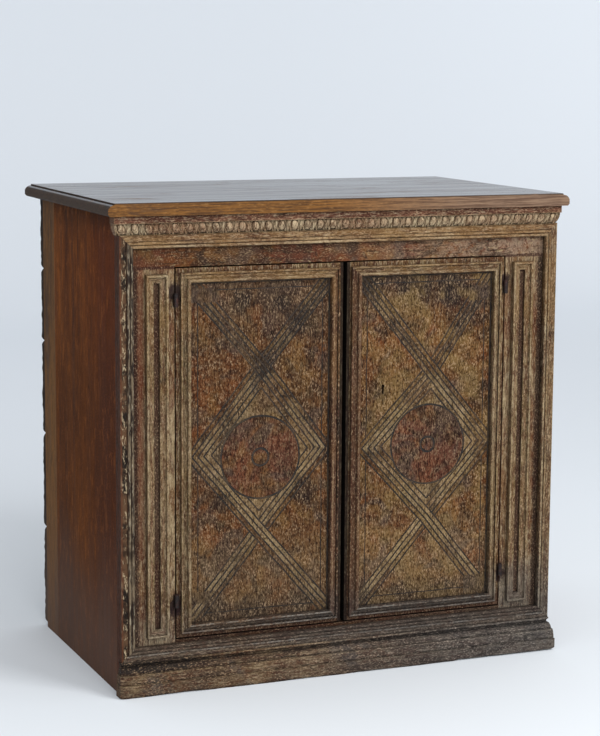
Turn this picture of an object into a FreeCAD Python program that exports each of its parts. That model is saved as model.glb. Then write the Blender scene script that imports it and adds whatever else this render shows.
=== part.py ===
import FreeCAD, Part
import os
import types

import Sketcher

# A two-door painted credenza. X runs to the right, Y to the back, Z up.
# The origin lies on the floor under the middle of the top, which has slipped to the left
# of the carcass together with the carved strip.

# Driving sizes in millimetres; a share is a part of the height that holds the piece
SIZES = {
    # Overall
    "total_height": 1000,
    "carcass_width": 976,
    "side_depth": 524,
    # Top
    "top_thickness": 26,
    "top_front_board": 342,
    "side_overhang": 22,
    "front_overhang": 22,
    "back_overhang": 14,
    "top_shift": 8,
    "nose_inset": 14,
    "nose_step": 3,
    "nose_drop": 10,
    "nose_chamfer": 4,
    "front_round": 6,
    "top_batten_width": 60,
    "top_batten_height": 25,
    "top_batten_spacing": 420,
    # Carcass
    "side_thickness": 24,
    "side_rear_board": 88,
    "back_thickness": 24,
    "back_foot_gap": 6,
    "top_plank_share": 0.165,
    "upper_plank_share": 0.165,
    "middle_plank_share": 0.215,
    "lower_plank_share": 0.221,
    "plank_gap": 1.5,
    "shelf_share": 0.478,
    "shelf_thickness": 20,
    "shelf_setback": 52,
    "bottom_board_thickness": 20,
    "cleat_width": 24,
    "cleat_height": 26,
    "cleat_end_gap": 12,
    # Face frame
    "frame_thickness": 22,
    "frame_foot_gap": 6,
    "stile_reveal": 89,
    "frieze_reveal": 39,
    "bottom_reveal": 7,
    "tenon_length": 40,
    "tenon_thickness": 8,
    "tenon_shoulder": 12,
    "tenon_clearance": 0.2,
    # Mouldings on the frame
    "frame_moulding_width": 28,
    "frame_moulding_proud": 14,
    "frame_band_width": 14,
    "frame_band_proud": 10,
    "frame_bead_crown": 3,
    "cornice_height": 38,
    "cornice_fillet_height": 15,
    "cornice_fillet_proud": 28,
    "cornice_top_proud": 25,
    "cornice_foot_proud": 15,
    "cornice_end_overhang": 8,
    "cornice_foot_overhang": 1,
    "base_fascia_height": 26,
    "base_proud": 31,
    "base_band_height": 20,
    "base_band_foot_proud": 28,
    "base_band_head_proud": 25,
    "base_ovolo_height": 14,
    "base_ovolo_proud": 21,
    "base_neck_proud": 8,
    "base_cove_height": 6,
    "base_lip_height": 4,
    "base_lip_proud": 13,
    "base_end_overhang": 9,
    # Narrow panels on the stiles
    "panel_width": 46,
    "panel_member_width": 17,
    "panel_member_proud": 12,
    "panel_bead_width": 5,
    "panel_quirk": 3,
    "panel_inner_proud": 5,
    "panel_shift": 6,
    "panel_top_margin": 14,
    "panel_foot_margin": 10,
    # Doors
    "door_thickness": 22,
    "door_end_gap": 3,
    "meeting_gap": 9,
    "door_margin": 9,
    "door_moulding_width": 20,
    "door_moulding_proud": 14,
    "door_bead_width": 4,
    "door_bead_proud": 8,
    "door_cove_width": 8,
    "door_cove_drop": 3,
    "door_torus_crown": 3.5,
    "batten_height": 60,
    "batten_thickness": 18,
    "batten_side_inset": 42,
    "batten_end_inset": 92,
    # Hinges
    "leaf_thickness": 1.2,
    "leaf_clearance": 0.6,
    "leaf_depth": 20,
    "knuckle_radius": 5,
    "knuckle_height": 8.4,
    "knuckle_clearance": 0.5,
    "knuckle_end_play": 0.3,
    "pin_radius": 2.4,
    "pin_clearance": 0.05,
    "pin_head_radius": 4,
    "pin_head_height": 2,
    "upper_hinge_drop": 64,
    "lower_hinge_rise": 78,
    # Lock on the right door
    "keyhole_share": 0.654,
    "keyhole_offset": 83.5,
    "keyhole_radius": 3.6,
    "keyhole_slot_width": 3.6,
    "keyhole_slot_length": 17,
    "lock_edge_inset": 14,
    "lock_width": 100,
    "lock_height": 76,
    "lock_depth": 18,
    "lock_wall": 2,
    "lock_guide_inset": 38,
    "lock_post_radius": 2.2,
    "lock_bolt_length": 86,
    "lock_bolt_height": 14,
    "lock_bolt_thickness": 8,
    "lock_bolt_rise": 14,
    "lock_bolt_nose": 2,
    "lock_notch": 6,
    "sliding_clearance": 0.3,
    "keeper_width": 16,
    "keeper_edge_inset": 2,
    "keeper_wall": 3,
    "keeper_clearance": 1,
    # Slide bolt on the left door
    "door_bolt_width": 12,
    "door_bolt_thickness": 6,
    "door_bolt_length": 84,
    "door_bolt_travel": 24,
    "door_bolt_edge_inset": 18,
    "door_bolt_top_gap": 6,
    "door_bolt_offset": 3,
    "knob_radius": 5,
    "knob_length": 12,
    "guide_wall": 4,
    "guide_height": 10,
    "guide_rise": 10,
    # Nails in the back
    "nail_radius": 2,
    "nail_length": 50,
    "nail_head_radius": 5.5,
    "nail_head_height": 3,
    "nail_clearance": 0.1,
    "nail_edge_inset": 30,
}

PLANKS = ("bottom_plank", "lower_plank", "middle_plank", "upper_plank", "top_plank")
SIDES = {"left": -1, "right": 1}
KNUCKLES = 3


class Size:
    """A length: its value now and the sheet expression that gives it."""

    def __init__(self, value, text):
        self.value = value
        self.text = text

    def __add__(self, other):
        other = as_size(other)
        return Size(self.value + other.value, f"({self.text} + {other.text})")

    def __sub__(self, other):
        other = as_size(other)
        return Size(self.value - other.value, f"({self.text} - {other.text})")

    def __mul__(self, factor):
        factor = as_size(factor)
        return Size(self.value * factor.value, f"({self.text} * ({factor.text}))")

    def __truediv__(self, factor):
        factor = as_size(factor)
        return Size(self.value / factor.value, f"({self.text} / {factor.text})")

    def __neg__(self):
        return self * -1


def as_size(value):
    if isinstance(value, Size):
        return value
    return Size(value, str(value))


ZERO = as_size(0)

doc = FreeCAD.newDocument("credenza")
sheet = doc.addObject("Spreadsheet::Sheet", "Sizes")
for row, (alias, number) in enumerate(SIZES.items(), start=1):
    sheet.set(f"A{row}", alias)
    sheet.set(f"B{row}", str(number))
    sheet.setAlias(f"B{row}", alias)
doc.recompute()
d = types.SimpleNamespace(**{alias: Size(number, f"Sizes.{alias}") for alias, number in SIZES.items()})

parts = []

# Directions, and for each side of a frame where a moulding's length and width point
FORWARD = FreeCAD.Vector(0, -1, 0)
RIGHT = FreeCAD.Vector(1, 0, 0)
BACK = FreeCAD.Vector(0, 1, 0)
UP = FreeCAD.Vector(0, 0, 1)
RUN_AXES = {
    "bottom": (RIGHT, UP),
    "right": (UP, -RIGHT),
    "top": (-RIGHT, -UP),
    "left": (-UP, RIGHT),
}


# Derived places
half_width = d.carcass_width / 2
top_length = d.carcass_width + d.side_overhang * 2
top_depth = (
    d.front_overhang
    + d.frame_moulding_proud
    + d.frame_thickness
    + d.side_depth
    + d.back_thickness
    + d.back_overhang
)
top_front_y = -top_depth / 2
top_back_y = top_depth / 2
face_y = top_front_y + d.front_overhang + d.frame_moulding_proud
frame_rear_y = face_y + d.frame_thickness
side_rear_y = frame_rear_y + d.side_depth
back_y = side_rear_y + d.back_thickness
underside_z = d.total_height - d.top_thickness
base_band_z = d.base_fascia_height + d.base_band_height
base_neck_z = base_band_z + d.base_ovolo_height
base_lip_z = base_neck_z + d.base_cove_height
base_height = base_lip_z + d.base_lip_height
frame_top_z = underside_z - d.cornice_height
inner_half = half_width - d.side_thickness
opening_half = half_width - d.frame_moulding_width - d.stile_reveal
opening_foot_z = base_height + d.frame_moulding_width + d.bottom_reveal
opening_head_z = frame_top_z - d.frame_moulding_width - d.frieze_reveal
door_gap = d.leaf_thickness * 2 + d.leaf_clearance
door_edge = opening_half - door_gap
door_foot_z = opening_foot_z + d.door_end_gap
door_head_z = opening_head_z - d.door_end_gap
meeting_edge = d.meeting_gap / 2
keyhole_z = door_foot_z + (door_head_z - door_foot_z) * d.keyhole_share
shelf_foot_z = opening_foot_z + (opening_head_z - opening_foot_z) * d.shelf_share
door_rear_y = face_y + d.door_thickness
hinge_x = opening_half - door_gap / 2
hinge_y = face_y - d.knuckle_radius - d.knuckle_clearance
knuckle_pitch = d.knuckle_height + d.knuckle_end_play
leaf_half = d.knuckle_height * KNUCKLES / 2 + d.knuckle_end_play
bottom_board_foot_z = opening_foot_z - d.bottom_board_thickness


def across(side, near, far):
    """The lowest and highest x of a span on one side, from distances to the middle."""
    if side > 0:
        return near, far
    return -far, -near


def span_between(start, length):
    return start, start + length


def centred(middle, width):
    return middle - width / 2, middle + width / 2


# Building helpers


def place(obj, x, y, z, middle_x=d.top_shift):
    """Put an object at a point measured from the middle of the carcass, or from another middle."""
    for axis, size in zip("xyz", (middle_x + x, y, z)):
        obj.setExpression(f"Placement.Base.{axis}", as_size(size).text)


def keep(obj, label):
    obj.Label = label
    parts.append(obj)
    return obj


def box(name, xs, ys, zs, middle_x=d.top_shift):
    obj = doc.addObject("Part::Box", name)
    for side, (low, high) in zip(("Length", "Width", "Height"), (xs, ys, zs)):
        obj.setExpression(side, (as_size(high) - low).text)
    place(obj, xs[0], ys[0], zs[0], middle_x)
    return obj


def rod(name, radius, length, start, along=UP):
    obj = doc.addObject("Part::Cylinder", name)
    obj.setExpression("Radius", radius.text)
    obj.setExpression("Height", as_size(length).text)
    obj.Placement.Rotation = FreeCAD.Rotation(UP, along)
    place(obj, *start)
    return obj


def cut(name, base, tool):
    obj = doc.addObject("Part::Cut", name)
    obj.Base = base
    obj.Tool = tool
    return obj


def common(name, base, tool):
    obj = doc.addObject("Part::Common", name)
    obj.Base = base
    obj.Tool = tool
    return obj


def fuse(name, shapes):
    obj = doc.addObject("Part::MultiFuse", name)
    obj.Shapes = shapes
    obj.Refine = True
    return obj


def group(name, links):
    obj = doc.addObject("Part::Compound", name)
    obj.Links = links
    return obj


def origin_plane(body, role):
    return next(plane for plane in body.Origin.OriginFeatures if plane.Role == role)


def pin_point(sketch, index, position, axis, size):
    """Hold one coordinate of a sketch point at a distance from the origin."""
    if size.value == 0:
        held_axis = -2 if axis == "X" else -1
        sketch.addConstraint(Sketcher.Constraint("PointOnObject", index, position, held_axis))
        return
    number = sketch.addConstraint(
        Sketcher.Constraint(f"Distance{axis}", -1, 1, index, position, size.value)
    )
    sketch.setExpression(f"Constraints[{number}]", size.text)


def arc_between(start, end, axis, centre_size, anticlockwise):
    """An arc from start to end whose centre has one given coordinate."""
    middle = (start + end) * 0.5
    chord = end - start
    if axis == "X":
        x = centre_size.value
        y = middle.y - (x - middle.x) * chord.x / chord.y
    else:
        y = centre_size.value
        x = middle.x - (y - middle.y) * chord.y / chord.x
    centre = FreeCAD.Vector(x, y, 0)
    first, last = (start, end) if anticlockwise else (end, start)
    circle = Part.Circle(centre, UP, (start - centre).Length)
    return Part.ArcOfCircle(circle, circle.parameter(first), circle.parameter(last))


def draw_outline(sketch, corners, arcs):
    """Draw a closed outline through the corners; arcs holds the rounded edges by number."""
    points = [FreeCAD.Vector(x.value, y.value, 0) for x, y in corners]
    ends = []
    for number, start in enumerate(points):
        end = points[(number + 1) % len(points)]
        forward = True
        edge = Part.LineSegment(start, end)
        if number in arcs:
            forward = arcs[number][2]
            edge = arc_between(start, end, *arcs[number])
        index = sketch.addGeometry(edge, False)
        ends.append((index, 1, 2) if forward else (index, 2, 1))
    for number, (index, _, last) in enumerate(ends):
        next_index, next_first, _ = ends[(number + 1) % len(ends)]
        sketch.addConstraint(Sketcher.Constraint("Coincident", index, last, next_index, next_first))
    for (index, first, _), (x, y) in zip(ends, corners):
        pin_point(sketch, index, first, "X", x)
        pin_point(sketch, index, first, "Y", y)
    for number, (axis, centre_size, _) in arcs.items():
        pin_point(sketch, ends[number][0], 3, axis, centre_size)


def sketch_on(body, name, role):
    sketch = body.newObject("Sketcher::SketchObject", name)
    sketch.AttachmentSupport = (origin_plane(body, role), [""])
    sketch.MapMode = "FlatFace"
    return sketch


def moulding(name, outline, length):
    """A body with its outline across the width and the proud height, run along its own X."""
    corners, arcs = outline
    body = doc.addObject("PartDesign::Body", name)
    sketch = sketch_on(body, f"{name}_outline", "YZ_Plane")
    draw_outline(sketch, corners, arcs)
    pad = body.newObject("PartDesign::Pad", f"{name}_run")
    pad.Profile = sketch
    pad.setExpression("Length", length.text)
    return body


def cut_mitres(body, name, length, width, proud):
    """Cut both ends of a run at 45 degrees, so that its inner edge is the shorter."""
    for end, corners in {
        "start": [(ZERO, ZERO), (width, width), (ZERO, width)],
        "end": [(length, ZERO), (length, width), (length - width, width)],
    }.items():
        sketch = sketch_on(body, f"{name}_{end}_mitre", "XY_Plane")
        draw_outline(sketch, corners, {})
        pocket = body.newObject("PartDesign::Pocket", f"{name}_{end}_cut")
        pocket.Profile = sketch
        pocket.Reversed = True
        pocket.setExpression("Length", proud.text)


def mitred_run(name, outline, edge, xs, zs, width, proud):
    """One side of a mitred frame on the face, inside the outer rectangle xs by zs."""
    (left, right), (foot, head) = xs, zs
    length = right - left if edge in ("top", "bottom") else head - foot
    start_x = {"bottom": left, "right": right, "top": right, "left": left}[edge]
    start_z = {"bottom": foot, "right": foot, "top": head, "left": head}[edge]
    body = moulding(name, outline, length)
    cut_mitres(body, name, length, width, proud)
    along, inward = RUN_AXES[edge]
    body.Placement.Rotation = FreeCAD.Rotation(along, inward, FORWARD, "XYZ")
    place(body, start_x, face_y, start_z)
    return body


# Outlines of the mouldings: width first, then height above the seat


def crown_centre(top, crown, width):
    """The height of the centre of a round of the given width that rises by crown to top."""
    return top - (crown + width * width / crown / 4) / 2


def frame_outline():
    """A flat band on the outside and two beads towards the opening."""
    width = d.frame_moulding_width
    bead = (width - d.frame_band_width) / 2
    first = d.frame_band_width
    second = first + bead
    seat = d.frame_moulding_proud - d.frame_bead_crown
    corners = [
        (ZERO, ZERO),
        (width, ZERO),
        (width, seat),
        (second, seat),
        (first, seat),
        (first, d.frame_band_proud),
        (ZERO, d.frame_band_proud),
    ]
    centre = crown_centre(d.frame_moulding_proud, d.frame_bead_crown, bead)
    return corners, {2: ("Y", centre, True), 3: ("Y", centre, True)}


def door_outline():
    """A low outer bead, a cove and a high round towards the field."""
    width = d.door_moulding_width
    cove_start = d.door_bead_width
    torus_start = cove_start + d.door_cove_width
    seat = d.door_moulding_proud - d.door_torus_crown
    corners = [
        (ZERO, ZERO),
        (width, ZERO),
        (width, seat),
        (torus_start, seat),
        (torus_start, d.door_bead_proud),
        (cove_start, d.door_bead_proud - d.door_cove_drop),
        (cove_start, d.door_bead_proud),
        (ZERO, d.door_bead_proud),
    ]
    centre = crown_centre(d.door_moulding_proud, d.door_torus_crown, width - torus_start)
    return corners, {2: ("Y", centre, True), 4: ("X", cove_start, False)}


def panel_outline():
    """An outer bead, then a hollow that falls to the narrow recess."""
    width = d.panel_member_width
    bead = d.panel_bead_width
    quirk = d.panel_member_proud - d.panel_quirk
    corners = [
        (ZERO, ZERO),
        (width, ZERO),
        (width, d.panel_inner_proud),
        (bead, quirk),
        (bead, d.panel_member_proud),
        (ZERO, d.panel_member_proud),
    ]
    return corners, {2: ("X", width, False)}


def cornice_outline():
    """A fillet under the top above a quarter round that is carved along its length."""
    fillet_foot = d.cornice_height - d.cornice_fillet_height
    corners = [
        (ZERO, ZERO),
        (ZERO, d.cornice_foot_proud),
        (fillet_foot, d.cornice_top_proud),
        (fillet_foot, d.cornice_fillet_proud),
        (d.cornice_height, d.cornice_fillet_proud),
        (d.cornice_height, ZERO),
    ]
    return corners, {1: ("X", fillet_foot, False)}


def base_outline():
    """From the floor: a flat fascia, a full band, an ovolo, a neck cove and a lip."""
    corners = [
        (ZERO, ZERO),
        (ZERO, d.base_proud),
        (d.base_fascia_height, d.base_proud),
        (d.base_fascia_height, d.base_band_foot_proud),
        (base_band_z, d.base_band_head_proud),
        (base_band_z, d.base_ovolo_proud),
        (base_neck_z, d.base_neck_proud),
        (base_lip_z, d.base_lip_proud),
        (base_height, d.base_lip_proud),
        (base_height, ZERO),
    ]
    arcs = {
        3: ("X", d.base_fascia_height, False),
        5: ("X", base_band_z, False),
        6: ("X", base_neck_z, True),
    }
    return corners, arcs


def end_section(levels, rounds):
    """A section from end to end of the carcass, alike at both ends.

    levels holds each height with its overhang, from the foot up, and rounds the height of the
    centre of each rounded edge between two levels, with its turning direction.
    """
    rising = [(d.carcass_width + overhang, height) for height, overhang in levels]
    falling = [(-overhang, height) for height, overhang in reversed(levels)]
    last = len(levels) * 2 - 2
    arcs = {}
    for number, (centre, anticlockwise) in rounds.items():
        arcs[number] = ("Y", centre, anticlockwise)
        arcs[last - number] = ("Y", centre, anticlockwise)
    return rising + falling, arcs


def cornice_ends():
    """The carved strip's section turned round its ends, with less overhang."""
    spread = d.cornice_end_overhang - d.cornice_foot_overhang
    share = spread / (d.cornice_fillet_proud - d.cornice_foot_proud)
    fillet_foot = d.cornice_height - d.cornice_fillet_height
    levels = [
        (ZERO, d.cornice_foot_overhang),
        (fillet_foot, d.cornice_foot_overhang + share * (d.cornice_top_proud - d.cornice_foot_proud)),
        (fillet_foot, d.cornice_end_overhang),
        (d.cornice_height, d.cornice_end_overhang),
    ]
    return end_section(levels, {0: (fillet_foot, True)})


def base_ends():
    """The base's section turned round its ends, with less overhang."""
    share = d.base_end_overhang / (d.base_proud - d.base_neck_proud)

    def overhang(proud):
        return share * (proud - d.base_neck_proud)

    levels = [
        (ZERO, d.base_end_overhang),
        (d.base_fascia_height, d.base_end_overhang),
        (d.base_fascia_height, overhang(d.base_band_foot_proud)),
        (base_band_z, overhang(d.base_band_head_proud)),
        (base_band_z, overhang(d.base_ovolo_proud)),
        (base_neck_z, ZERO),
        (base_lip_z, overhang(d.base_lip_proud)),
        (base_height, overhang(d.base_lip_proud)),
    ]
    rounds = {2: (d.base_fascia_height, True), 4: (base_band_z, True), 5: (base_neck_z, False)}
    return end_section(levels, rounds)


def front_section_corners(depth):
    """The section of the top across its front edge, a flat face with a rounded upper edge."""
    high = d.top_thickness
    corners = [
        (ZERO, ZERO),
        (depth, ZERO),
        (depth, high),
        (d.front_round, high),
        (ZERO, high - d.front_round),
    ]
    return corners, {3: ("X", d.front_round, True)}


def end_section_corners():
    """The section of the top from end to end, with a nose at each end."""
    high = d.top_thickness
    round_top = high - d.nose_step
    nose_top = round_top - d.nose_drop
    far = top_length - d.nose_inset
    corners = [
        (d.nose_chamfer, ZERO),
        (top_length - d.nose_chamfer, ZERO),
        (top_length, d.nose_chamfer),
        (top_length, nose_top),
        (far, round_top),
        (far, high),
        (d.nose_inset, high),
        (d.nose_inset, round_top),
        (ZERO, nose_top),
        (ZERO, d.nose_chamfer),
    ]
    return corners, {3: ("X", far, True), 7: ("X", d.nose_inset, True)}


# Sub-parts


def make_top():
    """Two boards edge to edge, plain in front and moulded at both ends, on two battens."""
    joint_y = top_front_y + d.top_front_board
    front_run = moulding("top_front_run", front_section_corners(d.top_front_board), top_length)
    place(front_run, -top_length / 2, top_front_y, underside_z, ZERO)
    end_run = moulding("top_end_run", end_section_corners(), top_depth)
    end_run.Placement.Rotation = FreeCAD.Rotation(BACK, -RIGHT, UP, "XYZ")
    place(end_run, top_length / 2, top_front_y, underside_z, ZERO)
    rear_blank = box(
        "top_rear_blank",
        (-top_length / 2, top_length / 2),
        (joint_y, top_back_y),
        (underside_z, d.total_height),
        ZERO,
    )
    keep(common("top_front", front_run, end_run), "top_front_board")
    keep(common("top_rear", rear_blank, end_run), "top_rear_board")
    batten_zs = (underside_z - d.top_batten_height, underside_z)
    for side_name, side in SIDES.items():
        middle = d.top_batten_spacing * side / 2
        batten = box(
            f"{side_name}_top_batten_blank",
            centred(middle, d.top_batten_width),
            (frame_rear_y, side_rear_y),
            batten_zs,
        )
        keep(batten, f"{side_name}_top_batten")


def plank_spans():
    """The foot and head of each back plank, from the floor up."""
    spans = {}
    head = underside_z
    back_height = underside_z - d.back_foot_gap
    for name in reversed(PLANKS[1:]):
        foot = head - back_height * getattr(d, f"{name}_share")
        spans[name] = (foot, head)
        head = foot - d.plank_gap
    spans[PLANKS[0]] = (d.back_foot_gap, head)
    return spans


def make_back_and_sides():
    """Horizontal back planks nailed to sides that are each glued up from two boards."""
    nails = []
    holes = []
    nail_x = half_width - d.side_thickness / 2
    hole_radius = d.nail_radius + d.nail_clearance
    hole_length = d.nail_length + d.nail_clearance
    spans = plank_spans()
    for name, (foot, head) in spans.items():
        for end, z in (("foot", foot + d.nail_edge_inset), ("head", head - d.nail_edge_inset)):
            for side_name, side in SIDES.items():
                start = (nail_x * side, back_y, z)
                key = f"{name}_{end}_{side_name}"
                shank = rod(f"{key}_shank", d.nail_radius, d.nail_length, start, FORWARD)
                head_cone = doc.addObject("Part::Cone", f"{key}_nail_head")
                head_cone.setExpression("Radius1", d.nail_head_radius.text)
                head_cone.setExpression("Radius2", d.nail_radius.text)
                head_cone.setExpression("Height", d.nail_head_height.text)
                head_cone.Placement.Rotation = FreeCAD.Rotation(UP, BACK)
                place(head_cone, *start)
                nails.append(fuse(f"{key}_nail", [shank, head_cone]))
                holes.append(rod(f"{key}_hole", hole_radius, hole_length, start, FORWARD))
    hole_group = group("nail_holes", holes)
    keep(group("nails", nails), "back_nails")
    for name, zs in spans.items():
        plank = box(f"{name}_blank", (-half_width, half_width), (side_rear_y, back_y), zs)
        keep(cut(f"{name}_drilled", plank, hole_group), f"back_{name}")
    board_joint_y = side_rear_y - d.side_rear_board
    for side_name, side in SIDES.items():
        xs = across(side, inner_half, half_width)
        zs = (ZERO, underside_z)
        front = box(f"{side_name}_side_front", xs, (frame_rear_y, board_joint_y), zs)
        rear = box(f"{side_name}_side_rear", xs, (board_joint_y, side_rear_y), zs)
        keep(front, f"{side_name}_side_front_board")
        keep(cut(f"{side_name}_side_rear_drilled", rear, hole_group), f"{side_name}_side_rear_board")


def make_inside():
    """The bottom board and one shelf, each on a cleat at either end."""
    inside_xs = (-inner_half, inner_half)
    shelf_ys = (frame_rear_y + d.shelf_setback, side_rear_y)
    shelf_zs = span_between(shelf_foot_z, d.shelf_thickness)
    keep(box("shelf_board", inside_xs, shelf_ys, shelf_zs), "shelf")
    floor_zs = (bottom_board_foot_z, opening_foot_z)
    keep(box("bottom_blank", inside_xs, (frame_rear_y, side_rear_y), floor_zs), "bottom_board")
    for side_name, side in SIDES.items():
        xs = across(side, inner_half - d.cleat_width, inner_half)
        for level, front_y, head in (
            ("shelf", frame_rear_y + d.shelf_setback, shelf_foot_z),
            ("bottom", frame_rear_y, bottom_board_foot_z),
        ):
            ys = (front_y + d.cleat_end_gap, side_rear_y - d.cleat_end_gap)
            zs = (head - d.cleat_height, head)
            cleat = box(f"{side_name}_{level}_cleat_blank", xs, ys, zs)
            keep(cleat, f"{side_name}_{level}_cleat")


def tenon_ys(clearance):
    middle = face_y + d.frame_thickness / 2
    return centred(middle, d.tenon_thickness + clearance * 2)


def make_face_frame():
    """Two full-height stiles mortised for the tenons of the frieze and bottom rails."""
    rail_spans = {
        "frieze": (opening_head_z, underside_z),
        "bottom": (d.frame_foot_gap, opening_foot_z),
    }
    tenon_end = opening_half + d.tenon_length
    for name, (foot, head) in rail_spans.items():
        body = box(f"{name}_rail_body", (-opening_half, opening_half), (face_y, frame_rear_y), (foot, head))
        tongue_zs = (foot + d.tenon_shoulder, head - d.tenon_shoulder)
        tongue = box(f"{name}_rail_tongue", (-tenon_end, tenon_end), tenon_ys(ZERO), tongue_zs)
        keep(fuse(f"{name}_rail_whole", [body, tongue]), f"{name}_rail")
    for side_name, side in SIDES.items():
        mortises = []
        for name, (foot, head) in rail_spans.items():
            shoulder = d.tenon_shoulder - d.tenon_clearance
            mortises.append(
                box(
                    f"{side_name}_{name}_mortise",
                    across(side, opening_half, tenon_end + d.tenon_clearance),
                    tenon_ys(d.tenon_clearance),
                    (foot + shoulder, head - shoulder),
                )
            )
        blank = box(
            f"{side_name}_stile_blank",
            across(side, opening_half, half_width),
            (face_y, frame_rear_y),
            (d.frame_foot_gap, underside_z),
        )
        stile = cut(f"{side_name}_stile_cut", blank, group(f"{side_name}_mortises", mortises))
        keep(stile, f"{side_name}_stile")


def make_returned_strip(name, front, ends, foot, middle_x):
    """A strip along the front whose moulding turns round both of its ends."""
    outline, proud = front
    section, overhang = ends
    run = moulding(f"{name}_run", outline, d.carcass_width + overhang * 2)
    run.Placement.Rotation = FreeCAD.Rotation(RIGHT, UP, FORWARD, "XYZ")
    place(run, -half_width - overhang, face_y, foot, middle_x)
    turn = moulding(f"{name}_turn", section, proud)
    turn.Placement.Rotation = FreeCAD.Rotation(BACK, -RIGHT, UP, "XYZ")
    place(turn, half_width, face_y - proud, foot, middle_x)
    keep(common(f"{name}_strip", run, turn), name)


def make_frame_mouldings():
    """The large mitred frame round the front, with the carved strip above and the base below."""
    xs = (-half_width, half_width)
    zs = (base_height, frame_top_z)
    for edge in RUN_AXES:
        run = mitred_run(
            f"{edge}_frame_run",
            frame_outline(),
            edge,
            xs,
            zs,
            d.frame_moulding_width,
            d.frame_moulding_proud,
        )
        keep(run, f"frame_moulding_{edge}")
    make_returned_strip(
        "carved_cornice",
        (cornice_outline(), d.cornice_fillet_proud),
        (cornice_ends(), d.cornice_end_overhang),
        frame_top_z,
        ZERO,
    )
    make_returned_strip(
        "base_moulding",
        (base_outline(), d.base_proud),
        (base_ends(), d.base_end_overhang),
        ZERO,
        d.top_shift,
    )


def make_stile_panels():
    """A tall narrow mitred frame on each stile, around a slot of bare stile."""
    zs = (opening_foot_z + d.panel_foot_margin, opening_head_z - d.panel_top_margin)
    middle = opening_half + d.stile_reveal / 2 - d.panel_shift
    for side_name, side in SIDES.items():
        xs = centred(middle * side, d.panel_width)
        runs = {}
        for edge in RUN_AXES:
            runs[edge] = mitred_run(
                f"{side_name}_panel_{edge}",
                panel_outline(),
                edge,
                xs,
                zs,
                d.panel_member_width,
                d.panel_member_proud,
            )
        long_pair = [runs["left"], runs["right"]]
        short_pair = [runs["top"], runs["bottom"]]
        keep(group(f"{side_name}_panel_long", long_pair), f"{side_name}_panel_long_mouldings")
        keep(group(f"{side_name}_panel_short", short_pair), f"{side_name}_panel_end_mouldings")


def keyhole():
    """A round hole with a slot below it, right through the right door's board."""
    x = meeting_edge + d.keyhole_offset
    start = (x, face_y, keyhole_z)
    bow = rod("keyhole_round", d.keyhole_radius, d.door_thickness, start, BACK)
    slot = box(
        "keyhole_slot",
        centred(x, d.keyhole_slot_width),
        (face_y, door_rear_y),
        (keyhole_z - d.keyhole_slot_length, keyhole_z),
    )
    return fuse("keyhole_cut", [bow, slot])


def make_door(side_name, side):
    """A board with a mitred moulding round its face and two battens on its inner side."""
    xs = across(side, meeting_edge, door_edge)
    zs = (door_foot_z, door_head_z)
    board = box(f"{side_name}_door_blank", xs, (face_y, door_rear_y), zs)
    if side_name == "right":
        board = cut("right_door_pierced", board, keyhole())
    keep(board, f"{side_name}_door_board")
    inset_xs = (xs[0] + d.door_margin, xs[1] - d.door_margin)
    inset_zs = (zs[0] + d.door_margin, zs[1] - d.door_margin)
    for edge in RUN_AXES:
        run = mitred_run(
            f"{side_name}_door_run_{edge}",
            door_outline(),
            edge,
            inset_xs,
            inset_zs,
            d.door_moulding_width,
            d.door_moulding_proud,
        )
        keep(run, f"{side_name}_door_moulding_{edge}")
    batten_xs = (xs[0] + d.batten_side_inset, xs[1] - d.batten_side_inset)
    batten_ys = span_between(door_rear_y, d.batten_thickness)
    for level, foot in (
        ("lower", door_foot_z + d.batten_end_inset),
        ("upper", door_head_z - d.batten_end_inset - d.batten_height),
    ):
        batten = box(
            f"{side_name}_{level}_batten_blank",
            batten_xs,
            batten_ys,
            span_between(foot, d.batten_height),
        )
        keep(batten, f"{side_name}_door_{level}_batten")


def hinge_leaf(name, side, near, z, knuckles):
    """A leaf plate against an edge, with rolled knuckles at the given steps round the pin."""
    xs = across(side, near, near + d.leaf_thickness)
    pieces = [
        box(f"{name}_plate", xs, span_between(face_y, d.leaf_depth), centred(z, leaf_half * 2)),
    ]
    for step in knuckles:
        middle = z + knuckle_pitch * step
        foot = middle - d.knuckle_height / 2
        zs = centred(middle, d.knuckle_height)
        pieces.append(box(f"{name}_tab_{step + 1}", xs, (hinge_y, face_y), zs))
        start = (hinge_x * side, hinge_y, foot)
        pieces.append(rod(f"{name}_knuckle_{step + 1}", d.knuckle_radius, d.knuckle_height, start))
    start = (hinge_x * side, hinge_y, z - leaf_half)
    bore = rod(f"{name}_bore", d.pin_radius + d.pin_clearance, leaf_half * 2, start)
    return cut(f"{name}_leaf", fuse(f"{name}_solid", pieces), bore)


def hinge_pin(name, side, z):
    """A straight pin with a flat head on the upper knuckle."""
    foot = z - leaf_half
    head = z + leaf_half
    x = hinge_x * side
    shaft = rod(f"{name}_shaft", d.pin_radius, head - foot, (x, hinge_y, foot))
    cap = rod(f"{name}_cap", d.pin_head_radius, d.pin_head_height, (x, hinge_y, head))
    return fuse(f"{name}_pin", [shaft, cap])


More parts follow.
